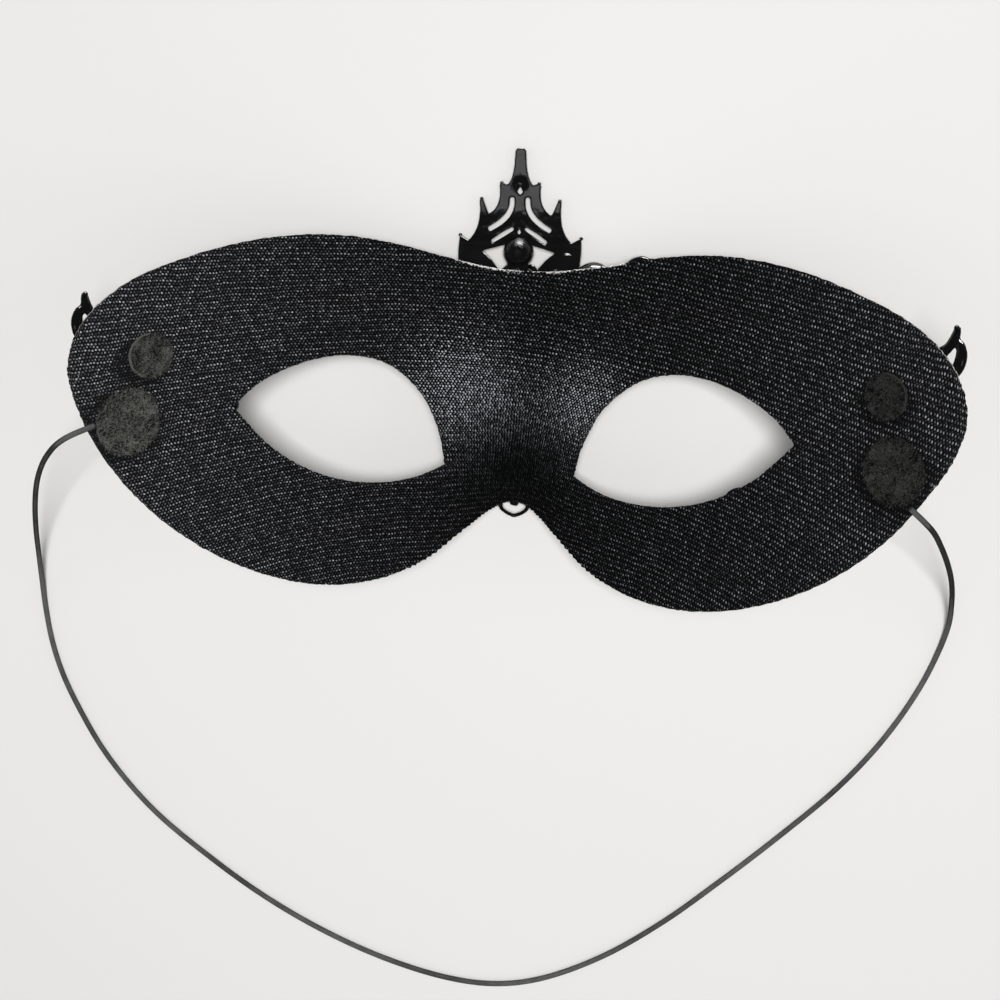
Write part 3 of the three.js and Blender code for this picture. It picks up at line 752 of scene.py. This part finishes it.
def drawKnitOver(piece, tree, outs):  # the stitches go on over the wall of each cut edge
    spots = []
    for vertex in piece.data.vertices:
        spot = Vector(vertex.co) / mm
        spot.y += face["middleY"]
        normal = (onFace(spot.x, spot.y, 1) - onFace(spot.x, spot.y, 0)).normalized()
        lift = (spot.z - faceHeight(spot.x, spot.y)) * normal.z
        spots.append((spot, normal, lift))
    rim = piece.data.attributes["rim"].data
    half = face["thickness"] / 2
    for index, (spot, normal, lift) in enumerate(spots):
        # more pale board under the crest, partly a painted highlight on that top edge
        underCrest = smooth(30 - abs(spot.x - 4), 0, 12) * smooth(spot.y, 28, 32)
        rim[index].value = min(rim[index].value, 4) + half + min(lift, half) - shell["crestBareAndLit"] * underCrest
    layer = piece.data.uv_layers.active.data
    for polygon in piece.data.polygons:
        if polygon.material_index or min(spots[vertex][2] for vertex in polygon.vertices) > half - 0.02:
            continue
        for loop in polygon.loop_indices:
            spot, normal, lift = spots[piece.data.loops[loop].vertex_index]
            foot = spot - normal * lift
            out = outs[tree.find(Vector((foot.x, foot.y, 0)))[1]]
            drawn = (half - lift) * normal.z
            layer[loop].uv = clothAt(foot.x + out.x * drawn, foot.y + out.y * drawn)


def ringPlace(ring, length):  # where a ring lies, 0 at the eye hole and 1 at the edge
    steps = shell["edgeSteps"]
    last = len(steps) - 1
    back = shell["rings"] - ring
    if ring <= last:
        return steps[ring] / length
    if back <= last:
        return 1 - steps[back] / length
    narrow = steps[last] / length
    return blendTo(narrow, 1 - narrow, (ring - last) / (shell["rings"] - 2 * last))


def addHalf(side, eye, edge, tree, litEdgeShares):  # one half as a sheet, with its stitches as its UV map
    clearSelection()
    bpy.ops.mesh.primitive_grid_add(x_subdivisions=shell["around"], y_subdivisions=shell["rings"], size=1)
    half = bpy.context.object
    flat = []
    for vertex in half.data.vertices:
        turn = vertex.co.x + 0.5 if side > 0 else 1 - (vertex.co.x + 0.5)
        i = round(turn * shell["around"])
        ring = round((0.5 - vertex.co.y) * shell["rings"])
        atEdge = ring == shell["rings"]
        spot = eye[i].lerp(edge[i], ringPlace(ring, (edge[i] - eye[i]).length))
        if ring == 0 or (atEdge and edge[i].x > 0.01):
            wear = shell["fray"] * noise.noise(Vector((side * spot.x, spot.y, 3)) / shell["frayEvery"])
            nearest = tree.find(Vector((side * spot.x, spot.y, 0)))[1]
            wear += shell["wornGrows"] * litEdgeShares[nearest] * (1 if atEdge else -1)
            if atEdge and spot.y < -18 and spot.x < 24:
                wear += shell["teeth"] * (1 if i % 2 else -1)
            spot = spot + (edge[i] - eye[i]).normalized() * wear
        flat.append((side * spot.x, spot.y))
        vertex.co = inFrame(onFace(side * spot.x, spot.y, 0))
    rim = half.data.attributes.new("rim", "FLOAT", "POINT")
    # how pale the nearest edge is painted, a painted highlight where it faces up
    frayedAndLit = half.data.attributes.new("frayedAndLit", "FLOAT", "POINT")
    for index, (x, y) in enumerate(flat):
        _, nearest, distance = tree.find(Vector((x, y, 0)))
        rim.data[index].value = min(distance, 4)
        frayedAndLit.data[index].value = litEdgeShares[nearest]
    layer = half.data.uv_layers.active.data
    for loop in half.data.loops:
        layer[loop.index].uv = clothAt(*flat[loop.vertex_index])
    return half


def makeShell():
    loops = [(side, *halfLoops(side)) for side in (1, -1)]
    tree, litEdgeShares, outs = rimTree(loops)
    piece = joinPieces([addHalf(*half, tree, litEdgeShares) for half in loops], "maskShell")
    mendMesh(piece, 0.02 * mm)
    if piece.data.polygons[0].normal.z < 0:
        bpy.ops.object.mode_set(mode="EDIT")
        bpy.ops.mesh.flip_normals()
        bpy.ops.object.mode_set(mode="OBJECT")
    setMaterial(piece, liningKnit(), frontCloth())
    thick = {"thickness": face["thickness"] * mm, "offset": 0, "use_even_offset": True, "material_offset": 1}
    applyModifier(piece, "SOLIDIFY", **thick)
    soft = {"width": shell["bevel"] * mm, "limit_method": "ANGLE", "angle_limit": math.radians(55)}
    applyModifier(piece, "BEVEL", segments=2, **soft)
    drawKnitOver(piece, tree, outs)
    smoothShade(piece, 60)
    dark, pale = fringe(loops, tree, litEdgeShares)
    pale += lint()
    dark = addHairs(dark, 0.06, fibre("loose black yarn", 0.004, 0.03))
    pale = addHairs(pale, 0.06, fibre("loose board fibre", 0.35, 0.8))
    piece = joinPieces([piece, dark, pale], "maskShell")
    finishPiece(piece, "lining", "mask_shell")
    print("shell in place")


# The felt discs on the lining
largeDisc = {"radius": 7.6, "thickness": 1.1, "ragged": 0.024, "dish": 0, "hairs": 420}
smallDisc = {"radius": 5.2, "thickness": 0.9, "ragged": 0.006, "dish": 0.1, "hairs": 150}
discs = [
    # the left discs have lighter tones and the right discs darker ones: painted light, as if lit from the
    # right
    {**largeDisc, "name": "cordDiscLeft", "node": "cord_disc_left", "x": -85.6, "y": 0.9,
     "tone": (0.0158, 0.0158, 0.0142)},
    {**largeDisc, "name": "cordDiscRight", "node": "cord_disc_right", "x": 85.5, "y": 0.8,
     "tone": (0.0055, 0.0056, 0.0053)},
    {**smallDisc, "name": "ornamentDiscLeft", "node": "ornament_disc_left", "x": -82.2, "y": 15.5,
     "tone": (0.0122, 0.0122, 0.0113), "litRimAt": 160},
    {**smallDisc, "name": "ornamentDiscRight", "node": "ornament_disc_right", "x": 83, "y": 16.5,
     "tone": (0.0042, 0.0043, 0.0041), "litRimAt": 25},
]
discGap = 0.3


def discSpot(disc, x, y, height):  # x and y from the disc's middle, along the lining
    centre = onFace(disc["x"], disc["y"], 0)
    along = (onFace(disc["x"] + 0.1, disc["y"], 0) - centre).normalized()
    up = (onFace(disc["x"], disc["y"] + 0.1, 0) - centre).normalized()
    spot = centre + along * x + up * y
    return onFace(spot.x, spot.y, face["thickness"] / 2 + discGap + height)


def discHairs(disc):  # loose fibres on the felt and round its rim
    hairs = []
    for i in range(disc["hairs"]):
        turn = random.uniform(0, 2 * math.pi)
        if i % 3:
            out = disc["radius"] * random.random() ** 0.5 * 0.92
            heading = random.choice((52, 60, -8, 120)) + random.gauss(0, 18)
            length = random.uniform(0.5, 1.8)
            lift = disc["thickness"] - 0.03
        else:
            out = disc["radius"] * 0.97
            heading = math.degrees(turn) + random.gauss(0, 45)
            length = random.uniform(0.3, 0.8)
            lift = disc["thickness"] * random.uniform(0.3, 0.95)
        bend = random.uniform(-0.6, 0.6)
        x, y = out * math.cos(turn), out * math.sin(turn)
        points = []
        for step in range(4):
            points.append(discSpot(disc, x, y, lift + 0.05 * math.sin(math.pi * step / 3)))
            angle = math.radians(heading) + bend * step / 3
            x += math.cos(angle) * length / 3
            y += math.sin(angle) * length / 3
            if i % 3 and math.hypot(x, y) > disc["radius"] * 0.96:
                break
        if len(points) > 1:
            hairs.append(points)
    return hairs


def makeDisc(disc, material, hairMaterial):
    clearSelection()
    bpy.ops.mesh.primitive_uv_sphere_add(segments=112, ring_count=44, radius=1)
    piece = bpy.context.object
    piece.name = disc["name"]
    litRim = piece.data.attributes.new("litRim", "FLOAT", "POINT")
    for vertex in piece.data.vertices:
        x, y, z = vertex.co
        out = math.hypot(x, y)
        turn = math.atan2(y, x)
        around = Vector((math.cos(turn), math.sin(turn), disc["x"])) * 2.2
        ragged = 1 - disc["ragged"] * (1 + noise.noise(around) + 0.6 * noise.noise(around * 4))
        radius = disc["radius"] * ragged * out ** 0.22
        height = disc["thickness"] * (0.5 + 0.5 * math.copysign(abs(z) ** 0.35, z))
        if z > 0.3:
            wave = noise.noise(Vector((radius * math.cos(turn), radius * math.sin(turn), disc["x"])) * 0.7)
            height -= 0.06 * (1 + wave) + disc["dish"] * (1 - smooth(out, 0.75, 0.95))
        vertex.co = inFrame(discSpot(disc, radius * math.cos(turn), radius * math.sin(turn), height))
        if "litRimAt" in disc:  # painted highlight: the side of the rim that faces the light is painted pale
            facing = math.cos(turn - math.radians(disc["litRimAt"]))
            atRim = smooth(out, 0.62, 0.86) * smooth(z, -0.3, 0.1)
            litRim.data[vertex.index].value = smooth(facing, 0.1, 0.8) * atRim
    smoothShade(piece)
    setMaterial(piece, material)
    joinPieces([piece, addHairs(discHairs(disc), 0.12, hairMaterial)], disc["name"])
    finishPiece(piece, "felt", disc["node"])


def makeDiscs():
    for disc in discs:
        loose = [tuple(part * share for part in disc["tone"]) for share in (2.5, 9)]
        makeDisc(disc, felt(disc["name"] + " felt", disc["tone"]), fibre(disc["name"] + " fibre", *loose))
    print("discs in place")


# The openwork ornament: drawn flat, with its front towards -Z, then laid on the face
ornament = {
    "thickness": 2, "gap": 0.35,
    "lean": 0.0365, "leanFrom": -20, "leanReach": 40,  # it leans to the left towards the crest
    "templeRise": 0.02,
    "crestThickness": 2.4, "bendFrom": 37, "bendTo": 46, "bendReach": 23, "bendFade": 5,
    "strandFacet": 0.36, "crestFacet": 0.2, "strandPasses": 3, "crestPasses": 6,
    "strandDepth": 0.92,  # share of a round bar's depth
    "beadDepth": 1.15,  # the most that a bead's half depth can be
    "strandsKept": 0.5,  # share of the strands' facets that is kept
    "eyeFrame": [
        ([(66.8, 4.6), (58.5, 14), (48.5, 19), (38.5, 20.2), (29.5, 18.6), (21.5, 13.4), (15.5, 5),
          (12, -4), (11.2, -12)], (2, 2.2, 2)),
        ([(11.2, -12), (17, -15.4), (25.5, -17.8), (35, -18.4), (46, -16.4), (55, -12), (62, -5),
          (66.8, 4.6)], (2, 2.2, 2)),
        ([(49.8, -13.6), (50.4, -10.6), (53.2, -9.3), (56, -10.4), (56.6, -12.2)], (1.2, 1.4, 1.2)),
    ],
    "brow": [
        ([(10, 35), (17, 37.6), (25, 37.4), (37, 38.6), (49, 38), (61, 35), (73, 30), (83, 25.4), (89, 25),
          (92.4, 27)], (2.4, 2.6, 1.6)),
        ([(13, 36.8), (17.2, 39.1), (21.2, 38.7)], (2, 3, 1)),
        ([(23.9, 37.9), (26, 40.8), (28.6, 41.7), (30.7, 40.2), (30.2, 37.4)], (1.6, 1.8, 1.2)),
        ([(30, 19.4), (31.5, 26.5), (37.5, 31), (44, 29.5), (45.4, 25.4), (42, 23.6)], (2, 1.7, 1.1)),
        ([(37.5, 31), (43, 35), (50.5, 37.4)], (1, 1.8, 1.2)),
        ([(51, 18.4), (55.5, 25.5), (62.5, 27.5), (67, 23.5), (65.5, 19.4), (62, 19.2)], (2, 1.7, 1.1)),
        ([(62.5, 27.5), (67, 30), (73, 29.6)], (1, 1.6, 1.2)),
    ],
    "temple": [
        ([(91.4, 25.4), (92.5, 26.9), (93.5, 29.2), (93.85, 31)], (2, 1.8, 1.3)),
        ([(93.3, 28.8), (94.4, 28), (94.8, 26.6), (94.8, 24.8), (94.2, 22.4), (92.8, 20.2), (91.2, 18.8)],
         (1.2, 2.2, 1.3)),
        ([(66.6, 4), (72.5, 10.4), (79.5, 12.4), (85.2, 9), (85.4, 2.8), (80.8, 0.6), (77.8, 4)],
         (2, 1.9, 1.1)),
        ([(72.5, 10.4), (75, 16.5), (81, 19.5), (86.5, 17.4), (86.8, 13.4)], (1.2, 1.8, 1.1)),
        ([(81, 19.5), (86, 22.4), (89.5, 25)], (1.2, 1.8, 1.6)),
    ],
    "cheek": [
        ([(5.5, -11), (9.5, -18), (17.5, -24.4), (28, -28.6), (40, -30), (53, -28), (65, -22.6),
          (76, -13.6), (84.6, -3), (89.2, 8.5), (91.6, 18.6)], (1.8, 2.6, 1.8)),
        ([(23, -17.4), (24, -22.6), (29.6, -24.6), (33, -22), (31.2, -20.4)], (1.6, 1.6, 1)),
        ([(62, -5.4), (64.8, -12), (59.5, -16.6), (53.6, -15.4), (54.4, -12)], (1.6, 1.7, 1.2)),
        ([(59.5, -16.6), (62.5, -20.4), (68, -20.8)], (1.1, 1.6, 1)),
        ([(34.5, -18.6), (38.5, -23.6), (45, -25.6), (51, -28)], (1.4, 1.9, 1.2)),
        ([(68.4, 3), (72.8, -4.4), (78.4, -10.4)], (1.6, 2, 1.4)),
    ],
    "nose": [
        ([(3.8, 17), (8.5, 15), (14.8, 5)], (1.2, 1.8, 1.4)),
        ([(4.2, -8.4), (7.4, -8.6), (11.4, -11.6)], (1.4, 2, 1.6)),
        ([(0, -13), (2.6, -14.6), (5, -12.2)], (1.6, 1.6, 1.4)),
        ([(0.3, -14), (0.3, -16.6), (0.3, -19.4)], (1.4, 1.2, 0.9)),
        ([(0, -19.2), (1.1, -18.1), (2.4, -18.8), (2.4, -20.1), (1.4, -21.3), (0, -22.1)], (0.9, 0.95, 1)),
    ],
    "crest": [  # one side from the tip down: a corner, or a curve's control point and end
        [(0.9, 66.4)], [(1.3, 65.8)], [(1.5, 62.4)], [(1.9, 59), (3.1, 57.8)], [(4.7, 58.5)], [(5, 57.6)],
        [(4.4, 52.4), (7.6, 50.8)], [(8.4, 52.8), (9.2, 54.7)], [(9.9, 54.1)], [(9.2, 47.2), (12.4, 44.5)],
        [(14.6, 45.7)], [(15.2, 41), (13.8, 37.5)], [(11.5, 33.4), (6, 33.4)],
    ],
    "raised": [
        (0, 42, 3.7, (3.7, 3.7, 3.7), 64),
        (11.5, 40.8, 3.2, (2.9, 2.1, 2), 40),
        (-11.5, 40.8, 3.2, (2.9, 2.1, 2), 40),
        (0, 38.2, 3.7, (2.7, 0.75, 2.7), 40),
        (0, -14.4, 2, (3, 3, 1.9), 40),
    ],
    "tips": [(4.5, 58.2, 0.45), (9.4, 54.3, 0.45), (14.6, 45.6, 0.45), (93.85, 31.1, 0.62)],
    "calyx": [(-4.65, 38.25, 4.5, 215), (1.6, 38.35, 4.5, -38)],
    "noseLinks": [(35, 24, 3.4), (24, 11, 4.4), (11, -2, 3.8), (-2, -14, 4.6)],
    "beads": [
        (64.6, 5.6, 1.9), (60.2, -5.6, 1.7), (28.6, 39.8, 1.5), (41.6, 24.6, 1.5), (62.4, 20.4, 1.4),
        (78.6, 4.8, 1.6), (85.6, 13.4, 1.3), (56, -16.9, 1.3),
    ],
}


def ornamentPlace(x, y, depth):
    lean = ornament["lean"] * math.exp(-((x / ornament["leanReach"]) ** 2))
    px = x - lean * (y - ornament["leanFrom"])
    py = y + ornament["templeRise"] * x
    front = onFace(px, py, -face["thickness"] / 2 - ornament["gap"] - depth)
    flat = Vector((px, py, ornament["crestThickness"] * (1 - depth / ornament["thickness"])))
    near = 1 - smooth(abs(x), ornament["bendReach"] - ornament["bendFade"], ornament["bendReach"])
    return front.lerp(flat, smooth(y, ornament["bendFrom"], ornament["bendTo"]) * near)


def addBead(x, y, z, radii, segments=16):
    clearSelection()
    bpy.ops.mesh.primitive_uv_sphere_add(segments=segments, ring_count=segments // 2, radius=1)
    bead = bpy.context.object
    for vertex in bead.data.vertices:
        vertex.co = (x + radii[0] * vertex.co.x, y + radii[1] * vertex.co.y, z + radii[2] * vertex.co.z)
    return bead


def halfWidth(widths, share):  # of a bar or slot with the given widths at its start, middle and end
    swell = math.sin(math.pi * share)
    return (blendTo(widths[0], widths[2], share) * (1 - swell) + widths[1] * swell) / 2


def addStrands(strands, middle):  # round bars along the lines, with a ball at each end
    lines = []
    for points, widths in strands:
        spots = flatPoints(points)
        reach = sum((b - a).length for a, b in zip(spots, spots[1:]))
        line = evenLine(spots, max(8, round(reach / 0.8)), even=True)
        last = len(line) - 1
        lines.append([(spot.x, spot.y, middle, halfWidth(widths, i / last)) for i, spot in enumerate(line)])
    pieces = [drawLines(lines, bevel_depth=1, bevel_resolution=3, use_fill_caps=True)]
    for line in lines:
        for x, y, z, half in (line[0], line[-1]):
            pieces.append(addBead(x, y, z, (half, half, half), 12))
    return pieces


def quadratic(start, control, end, count=8):
    line = []
    for i in range(1, count + 1):
        t = i / count
        line.append(tuple(
            a * (1 - t) ** 2 + 2 * b * t * (1 - t) + c * t * t for a, b, c in zip(start, control, end)
        ))
    return line


def crestOutline():
    half = []
    for step in ornament["crest"]:
        half += quadratic(half[-1], *step) if len(step) == 2 else step
    return half + [(-x, y) for x, y in reversed(half)]


def slotOutline(points, widths, count=14):  # a curved slot of the given widths with round ends
    line = evenLine(flatPoints(points), count, even=True)
    left, right = [], []
    for i, spot in enumerate(line):
        along = (line[min(i + 1, count)] - line[max(i - 1, 0)]).normalized()
        half = halfWidth(widths, i / count)
        left.append((spot.x - along.y * half, spot.y + along.x * half))
        right.append((spot.x + along.y * half, spot.y - along.x * half))
    return left + right[::-1]


def crestOpenings():
    slots = [
        slotOutline([(1.9, 54.9), (2, 52.7), (2.9, 50.7), (4.8, 48.8), (7.5, 47.1)], (1, 1.25, 1.1)),
        slotOutline([(1.4, 47.6), (4, 46), (6.6, 44.3)], (0.8, 1, 0.8)),
        [(2.6, 43.8), (8.8, 42.1)] + quadratic((8.8, 42.1), (6.3, 40.7), (4, 37.2)) + [(2.6, 38.4)],
    ]
    slots += [[(-x, y) for x, y in slot] for slot in slots]
    for y, size in ((56.2, 0.7), (46.6, 0.5)):
        slots.append([(size, y), (0, y + 2 * size), (-size, y), (0, y - size)])
    return slots


def addPlate(outlines, thickness):
    lines = [[(x, y, 0, 1) for x, y in outline] for outline in outlines]
    piece = drawLines(lines, closed=True, dimensions="2D", fill_mode="BOTH", extrude=thickness / 2)
    for vertex in piece.data.vertices:
        vertex.co.z -= thickness / 2
    mendMesh(piece, 0.001)
    return piece


def crestHollow(x, y):  # how far the crest's back is sunk: a dent at the spire's foot, a rise further down
    dent = 0.26 * math.exp(-x * x / 2.8 - (y - 58.1) ** 2 / 1.8)
    uneven = noise.noise(Vector((x, y, 5)) * 0.8) * (0.014 + 0.02 * smooth(55 - y, 0, 6) * smooth(y, 42, 46))
    drop = 53 - max(y, 43.5)
    rise = 0.11 * (drop * drop / 6 if 0 < drop < 3 else max(0, drop - 1.5))
    return dent + uneven * smooth(60 - y, 0, 3) - rise * smooth(y, 35, 43.5)


def castTogether(pieces, name, facet, passes):  # one skin over all the pieces, with softened corners
    piece = joinPieces(pieces, name)
    applyModifier(piece, "REMESH", mode="VOXEL", voxel_size=facet)
    applyModifier(piece, "SMOOTH", factor=0.5, iterations=passes)
    return piece


def addLeaf(x, y, z, turn):  # a small curled leaf beside the collar
    leaf = addBead(0, 0, 0, (1.5, 0.62, 0.5), 24)
    for vertex in leaf.data.vertices:
        along, across, up = vertex.co
        across = across * (1 - 0.2 * along) - 0.16 * along * along
        vertex.co = (
            x + along * math.cos(turn) - across * math.sin(turn),
            y + along * math.sin(turn) + across * math.cos(turn), z + up - 0.12 * along * along,
        )
    return leaf


def makeOrnament():
    bars = []
    for part in ("eyeFrame", "brow", "temple", "cheek", "nose"):
        bars += ornament[part]
    for top, bottom, bulge in ornament["noseLinks"]:
        halfway = (top + bottom) / 2
        bars.append(([(0, top), (bulge, halfway + 1), (bulge, halfway - 1), (0, bottom)], (1.8, 1.7, 1.8)))
    middle = -ornament["thickness"] / 2
    pieces = addStrands(bars, middle)
    for x, y, radius in ornament["beads"]:
        pieces.append(addBead(x, y, middle, (radius, radius, min(radius, ornament["beadDepth"]))))
    strands = joinPieces(pieces, "strands")
    for vertex in strands.data.vertices:
        vertex.co.z = middle + (vertex.co.z - middle) * ornament["strandDepth"]
    applyModifier(strands, "MIRROR", use_mirror_merge=False)
    strands = castTogether([strands], "strands", ornament["strandFacet"], ornament["strandPasses"])
    applyModifier(strands, "DECIMATE", ratio=ornament["strandsKept"])
    plate = addPlate([crestOutline(), *crestOpenings()], ornament["thickness"])
    plate = castTogether([plate], "crest", ornament["crestFacet"], ornament["crestPasses"])
    for vertex in plate.data.vertices:
        vertex.co.z -= crestHollow(vertex.co.x, vertex.co.y) * smooth(vertex.co.z, -1.4, -0.3)
    piece = joinPieces([strands, plate], "ornament")
    for vertex in piece.data.vertices:
        x, y, z = vertex.co
        vertex.co = inFrame(ornamentPlace(x, y, -z))
    smoothShade(piece)
    setMaterial(piece, blackLacquer("black lacquer", 0.25, 1100))
    pitted = blackLacquer("pitted lacquer", 1.0, 2400)
    raised = []
    for x, y, z, radii, segments in ornament["raised"]:
        centre = ornamentPlace(x, y, 0)
        raised.append(addBead(centre.x, centre.y, z, radii, segments))
    for x, y, radius in ornament["tips"]:
        for side in (-1, 1):
            centre = ornamentPlace(side * x, y, 0.6)
            raised.append(addBead(*centre, (radius, radius, radius), 20))
    for x, y, z, turn in ornament["calyx"]:
        raised.append(addLeaf(x, y, z, math.radians(turn)))
    for bead in raised:
        for vertex in bead.data.vertices:
            vertex.co = inFrame(vertex.co)
        smoothShade(bead)
        setMaterial(bead, pitted)
    piece = joinPieces([piece, *raised], "ornament")
    finishPiece(piece, "lacquer", "filigree_overlay")
    print("ornament in place")


# Floor and light
studio = {
    "floorSize": 3.0,
    "world": 0.06,
    "lamps": [
        {"name": "overhead", "place": (0.075, 0.115, 1.0), "size": (0.24, 0.24), "power": 8.6,
         "glossy": False},
        {"name": "dome", "place": (0, -0.8, 1.1), "size": (2, 2), "power": 5, "glossy": False},
        {"name": "rightFill", "place": (1.4, -0.2, 0.8), "size": (1.2, 1.2), "power": 3, "glossy": False},
        {"name": "leftFill", "place": (-1.4, -0.1, 0.6), "size": (1.2, 1.2), "power": 2.5, "glossy": False},
        {"name": "plateSheen", "place": (-0.1, 0.05, 1.3), "size": (0.34, 0.24), "power": 0.5, "down": True,
         "diffuse": False},
        {"name": "beyond", "place": (0.08, 1.25, 0.22), "size": (0.6, 0.34), "power": 30, "diffuse": False},
    ],
}


def addStudio():
    clearSelection()
    bpy.ops.mesh.primitive_plane_add(size=studio["floorSize"])
    floor = bpy.context.object
    floor.name = "floor"
    setMaterial(floor, paleFloor())
    for lamp in studio["lamps"]:
        place = Vector(lamp["place"])
        aim = (0, 0, 0) if lamp.get("down") else (-place).to_track_quat("-Z", "Y").to_euler()
        bpy.ops.object.light_add(type="AREA", location=place, rotation=aim)
        light = bpy.context.object
        light.name = lamp["name"]
        light.data.shape = "RECTANGLE"
        light.data.size, light.data.size_y = lamp["size"]
        light.data.energy = lamp["power"]
        light.visible_glossy = lamp.get("glossy", True)
        light.visible_diffuse = lamp.get("diffuse", True)
    world = bpy.data.worlds.new("studio")
    world.use_nodes = True
    world.node_tree.nodes["Background"].inputs["Color"].default_value = (0.97, 0.985, 1, 1)
    world.node_tree.nodes["Background"].inputs["Strength"].default_value = studio["world"]
    bpy.context.scene.world = world
    bpy.context.scene.view_settings.view_transform = "Standard"
    print("floor and light in place")


addCamera()
makeCord()
makeShell()
makeDiscs()
makeOrnament()
addStudio()
